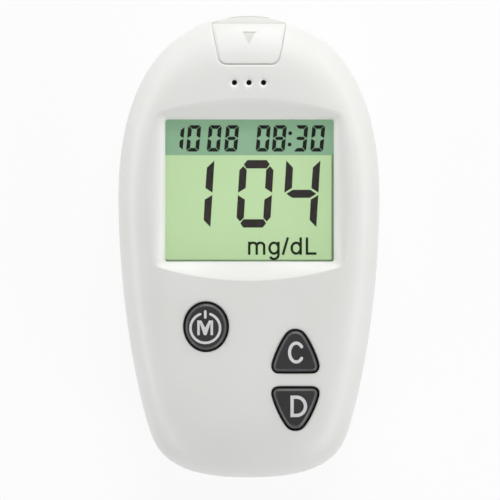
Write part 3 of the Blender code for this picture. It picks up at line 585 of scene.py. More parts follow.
def feed(tree, node, inputs):
    # each input is a value or another node's output
    for socket, value in inputs.items():
        if isinstance(value, bpy.types.NodeSocket):
            tree.links.new(value, node.inputs[socket])
        else:
            node.inputs[socket].default_value = value


def makeNode(tree, kind, inputs, output):
    node = tree.nodes.new("ShaderNode" + kind)
    feed(tree, node, inputs)
    return node.outputs[output]


def blankFinish(name):
    finish = bpy.data.materials.new(name)
    finish.use_nodes = True
    tree = finish.node_tree
    return finish, tree, tree.nodes["Principled BSDF"]


def objectPlace(tree):
    return makeNode(tree, "TexCoord", {}, "Object")


def noise(tree, size, detail=2.0, stretch=None):
    # noise whose patches are about a size across, in millimetres
    place = objectPlace(tree)
    if stretch:
        place = makeNode(tree, "Mapping", {"Scale": stretch, "Vector": place}, "Vector")
    return makeNode(tree, "TexNoise", {"Scale": 1 / (size * mm), "Detail": detail, "Vector": place}, "Fac")


def blendColours(tree, value, colours):
    ramp = tree.nodes.new("ShaderNodeValToRGB")
    for element, position, colour in zip(ramp.color_ramp.elements, (0.35, 0.65), colours):
        element.position = position
        element.color = (*colour, 1)
    feed(tree, ramp, {"Fac": value})
    return ramp.outputs["Color"]


def setSurface(tree, shader, colour, gloss, look, grain):
    # the grain's height is how far the surface goes up and down, in millimetres
    low, high = look["roughness"]
    roughness = makeNode(tree, "MapRange", {"From Min": 0.3, "From Max": 0.7, "To Min": low, "To Max": high,
                                            "Value": gloss}, "Result")
    normal = makeNode(tree, "Bump", {"Distance": look["grainHeight"] * mm, "Strength": 1.0, "Height": grain},
                      "Normal")
    feed(tree, shader, {"Base Color": colour, "Roughness": roughness, "Normal": normal})
    feed(tree, shader, look.get("sockets", {}))


def mottled(name, first, second, patch, roughness, grain, grainHeight, sockets={}, stretch=None):
    # a finish with a slight change of colour and gloss over patches, and a fine grain
    finish, tree, shader = blankFinish(name)
    look = {"roughness": roughness, "grainHeight": grainHeight, "sockets": sockets}
    colour = blendColours(tree, noise(tree, patch, 3), (first, second))
    setSurface(tree, shader, colour, noise(tree, patch / 3, 3), look, noise(tree, grain, 2, stretch))
    return finish


def banded(name, look):
    # thin layers side by side along the strip
    finish, tree, shader = blankFinish(name)
    layers = tree.nodes.new("ShaderNodeTexWave")
    layers.bands_direction = 'X'
    feed(tree, layers, {"Scale": pi / 10 / (look["pitch"] * mm), "Distortion": look["waver"],
                        "Vector": objectPlace(tree)})
    layer = layers.outputs["Fac"]
    colour = blendColours(tree, layer, look["colours"])
    setSurface(tree, shader, colour, noise(tree, look["patch"]), look, layer)
    return finish


def tracked(name, look):
    # solder resist over a net of copper tracks
    finish, tree, shader = blankFinish(name)
    net = tree.nodes.new("ShaderNodeTexBrick")
    feed(tree, net, {"Scale": 1 / mm, "Brick Width": look["run"], "Row Height": look["pitch"],
                     "Mortar Size": look["track"] / 2, "Vector": objectPlace(tree)})
    for socket, colour in zip(("Color1", "Color2", "Mortar"), look["colours"]):
        net.inputs[socket].default_value = (*colour, 1)
    setSurface(tree, shader, net.outputs["Color"], noise(tree, look["patch"]), look, net.outputs["Fac"])
    return finish


looks = {
    # two colours, patch, roughness, grain and its height, other sockets of the shader, the grain's stretch
    "whitePlastic": ((0.765, 0.768, 0.742), (0.785, 0.788, 0.765), 14, (0.38, 0.46), 0.25, 0.0006),
    # the engraved finish is darker as a painted shade in the arrow's recess, and rougher as a real matte
    # floor
    "engravedPlastic": ((0.66, 0.663, 0.64), (0.70, 0.703, 0.68), 3, (0.6, 0.7), 0.1, 0.003),
    "keyPlastic": ((0.018, 0.0175, 0.019), (0.024, 0.0235, 0.025), 3, (0.36, 0.44), 0.12, 0.0012,
                   {"Specular IOR Level": 0.3}),
    # a lighter key colour for the rounded edges, painted on as a highlight
    "keyEdge": ((0.036, 0.035, 0.035), (0.054, 0.053, 0.053), 2, (0.32, 0.4), 0.12, 0.001,
                {"Specular IOR Level": 0.5}),
    "legendPaint": ((0.64, 0.64, 0.65), (0.70, 0.70, 0.71), 1.5, (0.45, 0.55), 0.1, 0.001),
    # the emission of the display's film and band is a painted glow, which lifts them out of the window's
    # shade
    "displayGlass": ((0.25, 0.35, 0.19), (0.26, 0.36, 0.2), 8, (0.32, 0.4), 0.15, 0.0003,
                     {"Emission Color": (0.5, 0.7, 0.38, 1), "Emission Strength": 0.64,
                      "Specular IOR Level": 0.25}),
    "displayBand": ((0.10, 0.20, 0.115), (0.135, 0.23, 0.155), 9, (0.32, 0.4), 0.15, 0.0003,
                    {"Emission Color": (0.23, 0.40, 0.25, 1), "Emission Strength": 0.68,
                     "Specular IOR Level": 0.25}),
    "segmentInk": ((0.015, 0.010, 0.010), (0.022, 0.016, 0.015), 2, (0.4, 0.5), 0.1, 0.0003,
                   {"Specular IOR Level": 0.15}),
    "smallInk": ((0.001, 0.004, 0.002), (0.002, 0.006, 0.003), 2, (0.4, 0.5), 0.1, 0.0003,
                 {"Specular IOR Level": 0.05}),
    "unitInk": ((0.003, 0.014, 0.001), (0.005, 0.018, 0.002), 2, (0.4, 0.5), 0.1, 0.0003,
                {"Specular IOR Level": 0.05}),
    "edgeShadow": ((0.29, 0.42, 0.25), (0.33, 0.47, 0.29), 2, (0.5, 0.6), 0.1, 0.0003),
    "clearPlastic": ((0.24, 0.26, 0.24), (0.28, 0.30, 0.28), 9, (0.06, 0.09), 0.5, 0.0002, {"Alpha": 0.03}),
    "blackPlastic": ((0.014, 0.014, 0.015), (0.022, 0.022, 0.023), 2, (0.45, 0.55), 0.1, 0.002),
    "ivoryPlastic": ((0.72, 0.69, 0.59), (0.77, 0.74, 0.64), 6, (0.42, 0.52), 0.15, 0.001),
    "tanCeramic": ((0.44, 0.31, 0.17), (0.54, 0.39, 0.22), 0.6, (0.45, 0.6), 0.08, 0.002),
    "labelFilm": ((0.66, 0.67, 0.685), (0.70, 0.71, 0.72), 7, (0.36, 0.46), 0.2, 0.0008),
    "labelInk": ((0.20, 0.21, 0.23), (0.25, 0.26, 0.28), 1.5, (0.45, 0.55), 0.1, 0.0005),
    "brightSteel": ((0.56, 0.56, 0.54), (0.66, 0.66, 0.64), 2.5, (0.26, 0.36), 0.3, 0.0003,
                    {"Metallic": 1.0}, (1, 9, 1)),
    "goldPlate": ((0.78, 0.57, 0.22), (0.87, 0.66, 0.30), 0.8, (0.2, 0.32), 0.1, 0.0008, {"Metallic": 1.0}),
}
rubberLook = {"colours": ((0.035, 0.035, 0.037), (0.24, 0.24, 0.25)), "pitch": 0.25, "waver": 0.4,
              "patch": 2, "roughness": (0.6, 0.75), "grainHeight": 0.004}
boardLook = {
    "colours": ((0.016, 0.13, 0.05), (0.022, 0.155, 0.06), (0.05, 0.26, 0.11)),     # the last is a track's
    "run": 7.3, "pitch": 1.27, "track": 0.22, "patch": 5, "roughness": (0.3, 0.42), "grainHeight": 0.02,
}
finishes = {name: mottled(name, *look) for name, look in looks.items()}
finishes["greyRubber"] = banded("greyRubber", rubberLook)
finishes["boardGreen"] = tracked("boardGreen", boardLook)
print("finishes:", ", ".join(finishes))


def dress(piece, finishName, slotName, body, *replaced):
    piece.data.materials.clear()
    piece.data.materials.append(finishes[finishName])
    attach(piece, body)
    if replaced:
        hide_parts(*replaced)


# Front cover


def makeFrontCover():
    skin = Skin()
    outerHoles = []
    innerHoles = []

    def pierce(rings, plan, foot):
        # carries a hole from its rim down through the wall
        rings = [*rings, skin.loop(plan, foot)]
        skin.band(*rings)
        outerHoles.append(rings[0])
        innerHoles.append(rings[-1])

    rim = levelSurface(caseForm["frontRim"])
    radius = caseForm["edgeRadius"]
    rims = roundEdge(skin, outline, rim, -radius, -radius, caseForm["edgeSteps"])[::-1]
    innerRim = skin.loop(offsetLoop(outline, -caseForm["wall"]), rim)
    skin.band(*rims, innerRim)

    innerDome = makeDome(caseForm["wall"])
    blockHalf, blockEnd, blockFoot = portForm["block"]
    back = portForm["backWall"]

    def innerHeight(points):
        height = np.minimum(innerDome["height"](points), frontHeight(points) - dishForm["lip"])
        x, y = points.T
        inBlock = (np.abs(x) < blockHalf - portForm["blockSlack"]) & (y > back + portForm["blockSlack"])
        return np.where(inBlock, np.minimum(height, blockFoot), height)

    inner = {**innerDome, "height": innerHeight}
    radius = dishForm["windowRound"]
    level = dishForm["windowEdge"]
    pierce(roundEdge(skin, windowLoop, levelSurface(level), radius, radius, 4), windowLoop,
           level - dishForm["lip"])
    radius = keyMake["holeRound"]
    for loop in keyLoops.values():
        pierce(roundEdge(skin, loop, front, radius, radius, 3), loop, inner)
    wide, narrow = soundHoles["dimple"], soundHoles["radius"]
    for number in (-1, 0, 1):
        middle = (number * soundHoles["spacing"], soundHoles["y"])
        rings = []
        for share in soundHoles["shares"]:
            ring = circle(2 * (wide + (narrow - wide) * share), middle, 32)
            sunk = soundHoles["depth"] * share ** soundHoles["power"]
            rings.append(skin.loop(ring, front["height"](ring) - sunk))
        pierce(rings, ring, inner)

    # the pocket for the strip port cover, whose floor runs out through the end of the case
    edge = portForm["edge"]
    endHeight = portForm["floor"] - portForm["slope"]
    high = pocketLoop(caseForm["gap"] + edge, endHeight - edge)
    low = pocketLoop(caseForm["gap"], endHeight + edge * portForm["rimDrop"])
    onEnd = low[:, 1] > portForm["outerEnd"] + portForm["endSpan"]
    pocket = []
    for angle in np.arange(portForm["edgeSteps"] + 1) * pi / 2 / portForm["edgeSteps"]:
        ring = low + (high - low) * (1 - sin(angle))
        aside = np.maximum(dome["height"](ring) - edge * (1 - cos(angle)), endHeight - edge)
        pocket.append(skin.loop(ring, np.where(onEnd, endHeight - edge * (1 - sin(angle)), aside)))
    ledge = {**levelSurface(portForm["floor"]), "height": ledgeHeight}
    pocket.append(skin.loop(low, ledge))
    skin.band(*pocket)
    skin.fill(pocket[-1], [], ledge, portForm["spacing"])
    outerHoles.append(pocket[0])

    wide, narrow = caseForm["spacings"][::-1]
    skin.fill(rims[0], outerHoles, front, narrow, [dishRing(share) for share in dishForm["lines"]])
    step = [(-blockHalf, blockEnd), (-blockHalf, back), (blockHalf, back), (blockHalf, blockEnd)]
    inward, onward = portForm["blockSide"]
    innerStep = [(x * inward, y + onward) for x, y in step]
    skin.fill(innerRim, innerHoles, inner, wide, [step, innerStep])
    cover = skin.make("front_cover_shell")

    width, slotFloor, slotRoof = portForm["slot"]
    behind = portForm["behind"]
    openings = [box((-width / 2, back - behind, slotFloor),
                    (width / 2, caseForm["length"] / 2 + behind, slotRoof))]
    room = portForm["armWidth"] / 2 + caseForm["gap"]
    low, high = portForm["arms"]
    for middle in (-portForm["armPlace"], portForm["armPlace"]):
        openings.append(box((middle - room, back - behind, low - caseForm["gap"]),
                            (middle + room, portForm["armRoot"], high + caseForm["gap"])))
    combine(cover, 'DIFFERENCE', *openings)
    dress(cover, "whitePlastic", "white_plastic", "case", "front_cover")
    print("front cover:", len(cover.data.vertices), "points")


makeFrontCover()


def makeKey(name):
    loop = keyLoops[name]
    stem = offsetLoop(loop, -keyMake["gap"])
    flange = offsetLoop(loop, keyMake["flange"])
    under = makeDome(caseForm["wall"] + caseForm["gap"])
    skin = Skin()
    rings = [skin.loop(flange, keyMake["underside"]), skin.loop(flange, under), skin.loop(stem, under)]
    rings += roundEdge(skin, stem, keyTop, -keyMake["edge"], keyMake["edge"], keyMake["edgeSteps"])[::-1]
    skin.band(*rings[::-1])
    skin.cap(rings[0][::-1])
    skin.fill(rings[-1], [], keyTop, keyMake["topSpacing"])
    return skin.make(f"key_{name}")


for keyName in keyForms:
    key = makeKey(keyName)
    dress(key, "keyPlastic", "key_plastic", f"key_{keyName}", f"button_{keyName}")
    key.data.materials.append(finishes["keyEdge"])      # the rounded edge gets a lighter colour, a painted highlight
    for face in key.data.polygons:
        if keyMake["polished"][0] < face.normal.z < keyMake["polished"][1]:
            face.material_index = 1
print("keys made")


# Marks: thin printed shapes that lie on a surface


def divided(loop, longest):
    # the same loop with points added, so that no side is longer than a length
    points = []
    for start, end in zip(loop, np.roll(loop, -1, axis=0)):
        parts = int(np.ceil(hypot(*(end - start)) / longest))
        points += [start + (end - start) * part / parts for part in range(parts)]
    return np.array(points)


def markSkin(shapes, surface, lift, depth, spacing=0.25):
    # shapes are lists of an outer loop and its holes; the top follows the surface
    skin = Skin()
    top = raised(surface, lift)
    sunk = raised(surface, lift - depth)
    for shape in shapes:
        loops = [divided(np.array(loop, float), spacing) for loop in shape]
        upper = [skin.loop(loop, top) for loop in loops]
        lower = [skin.loop(loop, sunk) for loop in loops]
        for high, low in zip(upper, lower):
            skin.band(high, low)
        skin.fill(upper[0], upper[1:], top, spacing)
        skin.fill(lower[0], lower[1:], sunk, spacing * 4)
    return skin


def signedArea(loop):
    x, y = np.array(loop).T
    return float((x * np.roll(y, -1) - y * np.roll(x, -1)).sum()) / 2


def merged(polygons):
    # the outlines of polygons that may overlap, joined into shapes with their holes
    places, faces, _ = triangulate([point for polygon in polygons for point in polygon], ringEdges(polygons))
    middles = places[faces].mean(axis=1)
    faces = faces[np.any([insideLoop(middles, np.array(polygon)) for polygon in polygons], axis=0)]
    sides = {(face[k], face[(k + 1) % 3]) for face in faces.tolist() for k in range(3)}
    follows = {}
    for a, b in sides:
        if (b, a) not in sides:
            follows.setdefault(a, []).append(b)
    loops = []
    while follows:
        first = next(iter(follows))
        loop = [first]
        while True:
            step = follows[loop[-1]].pop()
            if not follows[loop[-1]]:
                del follows[loop[-1]]
            if step == first:
                break
            loop.append(step)
        loops.append(places[loop])
    holes = [loop for loop in loops if signedArea(loop) < 0]
    return [[outer, *(hole[::-1] for hole in holes if insideLoop(hole[:1], outer)[0])]
            for outer in loops if signedArea(outer) > 0]


def pen(points, width):
    # the outline of a line drawn with a flat-ended pen
    points = np.array(points, float)
    along = np.diff(points, axis=0)
    along /= np.linalg.norm(along, axis=1)[:, None]
    before = np.vstack([along[:1], along])
    middle = before + np.vstack([along, along[-1:]])
    middle /= np.linalg.norm(middle, axis=1)[:, None]
    reach = width / 2 / (middle * before).sum(axis=1)
    side = np.column_stack([-middle[:, 1], middle[:, 0]]) * reach[:, None]
    return np.vstack([points + side, (points - side)[::-1]])[::-1]


def roundPen(points, width):
    # a line with round ends, which are a little narrower so that no corners meet
    narrower = width * 0.97
    return [pen(points, width), *(circle(narrower, end, 20) for end in (points[0], points[-1]))]


legendForm = {
    "lift": 0.012,
    "depth": 0.05,
    "ring": {"centre": (-8.71, -16.26), "radius": 2.95, "stroke": 0.5, "gap": 20},
    "bar": {"x": -8.71, "ends": (-12.92, -14.16), "width": 0.5},
    "m": {"centre": (-8.735, -16.2), "half": (1.57, 1.46), "stem": 0.5, "shoulder": 0.8, "valley": 0.03,
          "point": 0.26, "meets": 0.6},
    "c": {"centre": (9.42, -21.13), "radii": (1.34, 1.88), "stroke": 0.62, "opening": 37},
    "d": {"left": 8.26, "right": 11.58, "low": -34.0, "high": -29.7, "straight": 9.5, "stroke": 0.66},
}


def legendShapes():
    ring = legendForm["ring"]
    bar = legendForm["bar"]
    power = [*roundPen(arc(ring["centre"], (ring["radius"],) * 2, 90 + ring["gap"], 450 - ring["gap"], 90),
                       ring["stroke"]),
             *roundPen([(bar["x"], y) for y in bar["ends"]], bar["width"])]
    form = legendForm["m"]
    x, y = form["centre"]
    half, tall = form["half"]
    stem, point, meets = half - form["stem"], form["point"], tall * form["meets"]
    letterM = [(-half, -tall), (-half, tall), (-half + form["shoulder"], tall), (0, form["valley"]),
               (half - form["shoulder"], tall), (half, tall), (half, -tall), (stem, -tall),
               (stem, meets), (point, -tall), (-point, -tall), (-stem, meets), (-stem, -tall)]
    form = legendForm["c"]
    letterC = roundPen(arc(form["centre"], form["radii"], form["opening"], 360 - form["opening"], 60),
                       form["stroke"])
    form = legendForm["d"]
    half = form["stroke"] / 2
    middle = (form["low"] + form["high"]) / 2
    left = form["left"] + half
    bowl = arc((form["straight"], middle), (form["right"] - form["straight"] - half,
                                            form["high"] - middle - half), 90, -90, 50)
    bowl = np.vstack([[(left, form["high"] - half)], bowl, [(left, form["low"] + half)]])
    letterD = [pen(bowl, form["stroke"]), pen([(left, form["high"]), (left, form["low"])], form["stroke"])]
    return {"m": merged([*power, [(x + a, y + b) for a, b in letterM][::-1]]),
            "c": merged(letterC), "d": merged(letterD)}


for keyName, shapes in legendShapes().items():
    legend = markSkin(shapes, keyTop, legendForm["lift"], legendForm["depth"]).make(f"legend_{keyName}")
    dress(legend, "legendPaint", "key_plastic", f"key_{keyName}")
print("key legends made")


# Strip port cover, whose skirt leaves only a shallow groove round the tab

tabForm = {
    "edge": 0.13,
    "edgeSteps": 4,
    "grooveDepths": (0.04, 0.09),       # at the sides and at the inner end
    "skirt": 0.27,
    "wall": 1.3,
    "hollow": (0.8, 0.68),      # shares of the tab's width and length
    "endCorner": 0.22,
    "endPart": 0.7,             # share of that corner which counts as the end
    "endSlack": 0.02,
    "endCurve": ((0.92, 0.38), (0.7, 0.71), (0.38, 0.92), (0, 1)),
    "grooveFall": 0.02,
    "spacing": 0.3,
    "fillSpacings": (0.5, 1.2),         # on the top and under it
    "arrow": {"tip": 40.3, "base": 42.85, "width": 2.7, "depth": 0.15, "painted": 0.1, "spacing": 0.25},
}


def makeStripPortCover():
    edge, corner = tabForm["edge"], tabForm["endCorner"]
    half, far = portForm["outerWidth"] / 2, portForm["outerEnd"]
    side = tabSide(0, None)
    side[0] = (-half + tabForm["endSlack"], far - corner)
    side[-1] = (half - tabForm["endSlack"], far - corner)
    right = [(half - corner + corner * a, far - corner * (1 - b)) for a, b in tabForm["endCurve"]]
    plan = spaced(np.vstack([side, right, [(-x, y) for x, y in right[::-1]]]), spacing=tabForm["spacing"])
    skin = Skin()
    rings = roundEdge(skin, plan, dome, -edge, edge, tabForm["edgeSteps"])
    onEnd = plan[:, 1] > far - corner * tabForm["endPart"]
    wide = np.where(onEnd[:, None], plan, offsetLoop(plan, tabForm["skirt"]))
    shallow, deep = tabForm["grooveDepths"]
    atFoot = np.clip((portForm["innerEnd"] + portForm["corner"] - plan[:, 1]) / portForm["corner"], 0, 1)
    groove = dome["height"](plan) - edge - shallow - (deep - shallow) * atFoot
    middle = np.array((0, (portForm["innerEnd"] + far) / 2))
    inner = middle + (plan - middle) * tabForm["hollow"]
    ceiling = raised(dome, -tabForm["wall"])
    rings += [skin.loop(plan, groove), skin.loop(wide, groove - tabForm["grooveFall"]),
              skin.loop(wide, portForm["underside"]),
              skin.loop(inner, portForm["underside"]), skin.loop(inner, ceiling)]
    skin.band(*rings)
    onTop, under = tabForm["fillSpacings"]
    skin.fill(rings[-1], [], ceiling, under)
    skin.fill(rings[0], [], dome, onTop)
    cover = skin.make("strip_port_cover_shell")
    low, high = portForm["arms"]
    half = portForm["armWidth"] / 2
    combine(cover, 'UNION', *(box((x - half, portForm["armEnd"], low), (x + half, portForm["armRoot"], high))
                              for x in (-portForm["armPlace"], portForm["armPlace"])))
    arrow = tabForm["arrow"]
    half = arrow["width"] / 2
    mark = np.array([(0, arrow["tip"]), (half, arrow["base"]), (-half, arrow["base"])])
    mark = spaced(mark, spacing=arrow["spacing"])
    combine(cover, 'DIFFERENCE', markSkin([[mark]], dome, 1, 1 + arrow["depth"]))
    dress(cover, "whitePlastic", "white_plastic", "port_cover", "strip_port_cover")
    # the arrow's floor, sunk past the painted depth, gets the engraved finish: painted shade in the recess,
    # on a rougher matte floor
    cover.data.materials.append(finishes["engravedPlastic"])
    for face in cover.data.polygons:
        x, y, z = face.center / mm
        sunk = dome["height"](np.array([(x, y)]))[0] - z
        if face.normal.z > 0.5 and sunk > arrow["painted"] and insideLoop(np.array([(x, y)]), mark)[0]:
            face.material_index = 1


makeStripPortCover()
print("strip port cover made")


# Rear cover and battery door; each box is given by its low and its high corner

rearForm = {
    "floor": 1.8,
    "tongue": {"out": 2.1, "in": 2.9, "foot": 7.1, "top": 9.2},
    "shelf": {"in": 4.2, "foot": 6.1},
    "steps": 26,
    "restRim": ((-0.35, 0), (-0.1, 0.02)),      # how far in and how high the rest face's edge is eased
    "ends": (0.05, 0.1),        # what the curve leaves to the edge above it and to the rest face
    "below": -1,                # where the recesses are cut from
    "screws": ((-17.63, 31.4), (17.63, 31.4), (-15.85, -35.02), (15.85, -35.02)),
    "posts": {"width": 6, "sink": 0.6, "top": 9.2},
    "heads": {"width": 4.4, "top": 6.8},
    "shanks": {"width": 2.6, "foot": 4.9, "top": 12.2},
    "block": ((-14.5, -28.5, 0.9), (14.5, 2.5, 6.4)),       # what the battery room is cut from
    "opening": {"size": (25.6, 27.6), "corner": 2.8, "centre": (0, -13), "top": 1.9},
    "label": {"size": (28.6, 22.6), "corner": 1.5, "centre": (0, 17), "top": 0.6},
    "cell": {"width": 20.6, "foot": 0.2, "top": 5.4},
    "slots": (((-9.3, -2.87, 1.6), (-4.7, 5.5, 3.91)), ((4.7, -2.87, 1.6), (9.3, 5.5, 3.91)),       # hooks
              ((-4.3, -26.8, 1.6), (4.3, -24.7, 4.5)),      # latch
              ((-1.8, -16, 4.9), (1.8, -7.1, 9.4)), ((10, -15.8, 1.6), (10.9, -10.2, 9.4))),        # contacts
    "notch": {"centre": (-26.5, -3), "rings": ((-4.5, 7.4), (-4.2, 8), (4.2, 8), (4.5, 7.4))},  # place, width
}
doorForm = {
    "size": (25, 27), "corner": 2.5, "low": 0.2, "high": 1.6, "edge": 0.2, "topEdge": 0.1, "overlap": 0.02,
    "hooks": {"places": (-7, 7), "width": 4, "y": (-0.5, 2.3), "z": (2.1, 3.1), "root": (-0.5, 0.5)},
    "latch": {"width": 8, "y": (-25.8, -25.0), "top": 4.2},
    "grooves": {"count": 4, "first": -23.2, "pitch": 1.3, "width": 9, "across": 0.7, "depth": 0.3,
                "slant": 0.4, "corners": (0.3, 0.12), "below": 0.5},
}


def rearRings(skin, plan, reach, start, end):
    # rings down the rear curve, closer together where it is steep
    power = caseForm["crownPower"]
    first, last = (np.arcsin((depth / reach) ** (power / 2)) for depth in (start, end))
    depths = reach * np.sin(np.linspace(first, last, rearForm["steps"])) ** (2 / power)
    return [skin.loop(plan * crownReach(depth / reach), caseForm["rearRim"] - depth) for depth in depths]


def rearHeight(points):
    # the height of the rear cover's outside
    angle, radius = polar(points)
    share = np.minimum(radius / polarReach(outline)(angle), 1)
    depth = (caseForm["rearRim"] + caseForm["rearBelly"]) * crown(share)
    return np.maximum(caseForm["rearRim"] - depth, 0)


def makeRearCover():
    skin = Skin()
    rim = caseForm["rearRim"]
    reach = rim + caseForm["rearBelly"]
    radius = caseForm["edgeRadius"]
    above, beneath = rearForm["ends"]
    outside = rearRings(skin, outline, reach, radius + above, rim - beneath)[::-1]
    flat = outline * crownReach(rim / reach)
    softened = [skin.loop(offsetLoop(flat, inset), height) for inset, height in rearForm["restRim"]]
    edges = roundEdge(skin, outline, levelSurface(rim), -radius, radius, caseForm["edgeSteps"])[::-1]
    wall, tongue, shelf = caseForm["wall"], rearForm["tongue"], rearForm["shelf"]
    steps = ((wall, rim), (wall, tongue["foot"]),
             (tongue["out"], tongue["foot"]), (tongue["out"], tongue["top"]),
             (tongue["in"], tongue["top"]), (tongue["in"], tongue["foot"]), (shelf["in"], tongue["foot"]),
             (shelf["in"], shelf["foot"]))
    inside = [skin.loop(offsetLoop(outline, -inset), height) for inset, height in steps]
    depth = rim - rearForm["floor"]
    hollow = rearRings(skin, offsetLoop(outline, -wall), depth + caseForm["rearBelly"],
                       rim - shelf["foot"], depth)
    skin.band(*softened, *outside, *edges, *inside, *hollow)
    skin.cap(softened[0])
    skin.cap(hollow[-1])
    cover = skin.make("rear_cover_shell")

    posts, heads, shanks, cell = (rearForm[name] for name in ("posts", "heads", "shanks", "cell"))
    added = [box(*rearForm["block"])]
    for place in rearForm["screws"]:
        post = circle(posts["width"], place, 40)
        added.append(prism(post, rearHeight(post) + posts["sink"], posts["top"]))
    combine(cover, 'UNION', *added)
    below = rearForm["below"]
    rooms = [prism(roundedRectangle(*form["size"], form["corner"], form["centre"]), below, form["top"])
             for form in (rearForm["opening"], rearForm["label"])]
    rooms += [prism(circle(heads["width"], place, 40), below, heads["top"]) for place in rearForm["screws"]]
    combine(cover, 'DIFFERENCE', *rooms)
    rooms = [prism(circle(cell["width"], rearForm["opening"]["centre"], 96), cell["foot"], cell["top"])]
    rooms += [prism(circle(shanks["width"], place, 32), shanks["foot"], shanks["top"])
              for place in rearForm["screws"]]
    combine(cover, 'DIFFERENCE', *rooms)
    combine(cover, 'DIFFERENCE', *(box(*corners) for corners in rearForm["slots"]))
    notch = Skin()
    ends = []
    for x, width in rearForm["notch"]["rings"]:
        first = len(notch.points)
        notch.points += [(x, y, z) for y, z in circle(width, rearForm["notch"]["centre"], 48)]
        ends.append(list(range(first, len(notch.points))))
    notch.band(*ends)
    notch.cap(ends[0])
    notch.cap(ends[-1][::-1])
    combine(cover, 'DIFFERENCE', notch)
    dress(cover, "whitePlastic", "white_plastic", "case", "rear_cover")


def makeBatteryDoor():
    # the door with its hooks, its latch and its grip grooves
    plan = roundedRectangle(*doorForm["size"], doorForm["corner"], rearForm["opening"]["centre"], 10)
    edge, foot, top, eased = (doorForm[name] for name in ("edge", "low", "high", "topEdge"))
    skin = Skin()
    rings = roundEdge(skin, plan, levelSurface(foot), -edge, -edge, 4)
    rings += [skin.loop(plan, top - eased), skin.loop(offsetLoop(plan, -eased), top)]
    skin.band(*rings)
    skin.cap(rings[0])
    skin.cap(rings[-1])
    door = skin.make("battery_door_panel")
    hooks, latch, grooves = (doorForm[name] for name in ("hooks", "latch", "grooves"))
    half = hooks["width"] / 2
    low, high = hooks["z"]
    added = []
    for x in hooks["places"]:
        added.append(box((x - half, hooks["root"][0], top - eased),
                         (x + half, hooks["root"][1], low + doorForm["overlap"])))
        added.append(box((x - half, hooks["y"][0], low), (x + half, hooks["y"][1], high)))
    added.append(box((-latch["width"] / 2, latch["y"][0], top - eased),
                     (latch["width"] / 2, latch["y"][1], latch["top"])))
    for skin in added:
        combine(door, 'UNION', skin)
    cuts = []
    for number in range(grooves["count"]):
        place = (0, grooves["first"] + number * grooves["pitch"])
        wide, narrow = (
            roundedRectangle(grooves["width"] - slant, grooves["across"] - slant, corner, place, 5)
            for slant, corner in zip((0, grooves["slant"]), grooves["corners"]))
        cut = Skin()
        levels = [cut.loop(wide, foot - grooves["below"]), cut.loop(wide, foot),
                  cut.loop(narrow, foot + grooves["depth"])]
        cut.band(*levels)
        cut.cap(levels[0])
        cut.cap(levels[-1])
        cuts.append(cut)
    combine(door, 'DIFFERENCE', *cuts)
    dress(door, "whitePlastic", "white_plastic", "door", "battery_door")


makeRearCover()
print("rear cover made")
makeBatteryDoor()
print("battery door made")


# Display

displayForm = {
    "glassTop": 14.8,
    "filmTop": 14.86,
    "edgeTop": 14.88,
    "inkTop": 14.9,
    "film": (36.0, 30.8),
    "filmCorner": 0.3,
    "filmDepth": 0.05,
    "inkDepth": 0.04,
    "bandFoot": 18.2,
    "edgeRight": 16.45,
    "edgeFoot": -2.62,
    "clockDots": {"width": 0.78, "places": ((8.22, 22.6), (8.1, 20.36))},
}
# Each digit's half bar and posts as steps in from the digit's side and in from its end
bigDigits = {
    "foot": 3.78, "top": 17.24, "width": 6.8, "slant": 3.5,
    "bar": [(1.48, 0), (0.82, 0.84), (1.38, 1.66)],
    "postFar": [(0, 2.02), (0.74, 1.2), (1.46, 1.96)],
    "postFree": [(0, 0.1), (1.42, 1.5)],
    "postNear": [(1.46, 1.16), (0, 0.24)],
    "middle": [(0.4, 0), (1.64, 0.8)],
    "places": (("1", -7.3), ("0", 4.6), ("4", 13.84)),
}
smallDigits = {
    "foot": 18.94, "top": 24.2, "width": 2.58, "slant": 5.0,
    "bar": [(0.40, 0), (0.22, 0.12), (0.81, 0.72)],
    "postFar": [(0, 0.46), (0.16, 0.2), (0.76, 0.82)],
    "postFree": [(0, 0.38), (0.7, 0.95)],
    "postNear": [(0.76, 0.5), (0.1, 0.1), (0, 0.2)],
    "middle": [(0.4, 0), (0.72, 0.33)],
    "places": (("1", -13.04), ("0", -9.76), ("0", -5.64), ("8", -2.18), ("0", 4.12), ("8", 7.34),
               ("3", 11.6), ("0", 15.0)),
}
lit = {"0": "abcdef", "1": "bc", "3": "abcdg", "4": "bcfg", "8": "abcdefg"}
# The unit's letters, drawn as lines of one width: bows have a middle, half sizes up to the line's middle,
# a start and an end in degrees and a count of points
unitForm = {"foot": -1.65, "top": 0.99, "tall": 1.82, "pen": 0.49, "serif": 0.03,
            "bowls": {"middles": (4.99, 9.41), "half": 0.893, "starts": (3, 183), "sweep": 184}}


def digitShapes(form):
    # the lit segments of seven-segment digits, given by their right sides at mid height
    top, foot = form["top"], form["foot"]
    middle = (foot + top) / 2
    lean = np.tan(radians(form["slant"]))
    shapes = []
    for digit, right in form["places"]:
        left = right - form["width"]
        shown = lit[digit]
        polygons = []
        for letter, end, into in (("a", top, -1), ("d", foot, 1)):
            if letter in shown:
                half = [(left + x, end + into * y) for x, y in form["bar"]]
                polygons.append(half + [(left + right - x, y) for x, y in half[::-1]])
        if "g" in shown:
            (tip, _), (shoulder, thick) = form["middle"]
            polygons.append([(left + tip, middle), (left + shoulder, middle + thick),
                             (right - shoulder, middle + thick), (right - tip, middle),
                             (right - shoulder, middle - thick), (left + shoulder, middle - thick)])
        for letter, meets, side, into, away in (("b", "a", right, -1, 1), ("c", "d", right, -1, -1),
                                                ("f", "a", left, 1, 1), ("e", "d", left, 1, -1)):
            if letter in shown:
                far = form["postFar"] if meets in shown else form["postFree"]
                end = top if away > 0 else foot
                polygons.append([(side + into * x, end - away * y) for x, y in far] +
                                [(side + into * x, middle + away * y) for x, y in form["postNear"]])
        for polygon in polygons:
            loop = np.array([(x + (y - middle) * lean, y) for x, y in polygon])
            shapes.append([loop if signedArea(loop) > 0 else loop[::-1]])
    return shapes


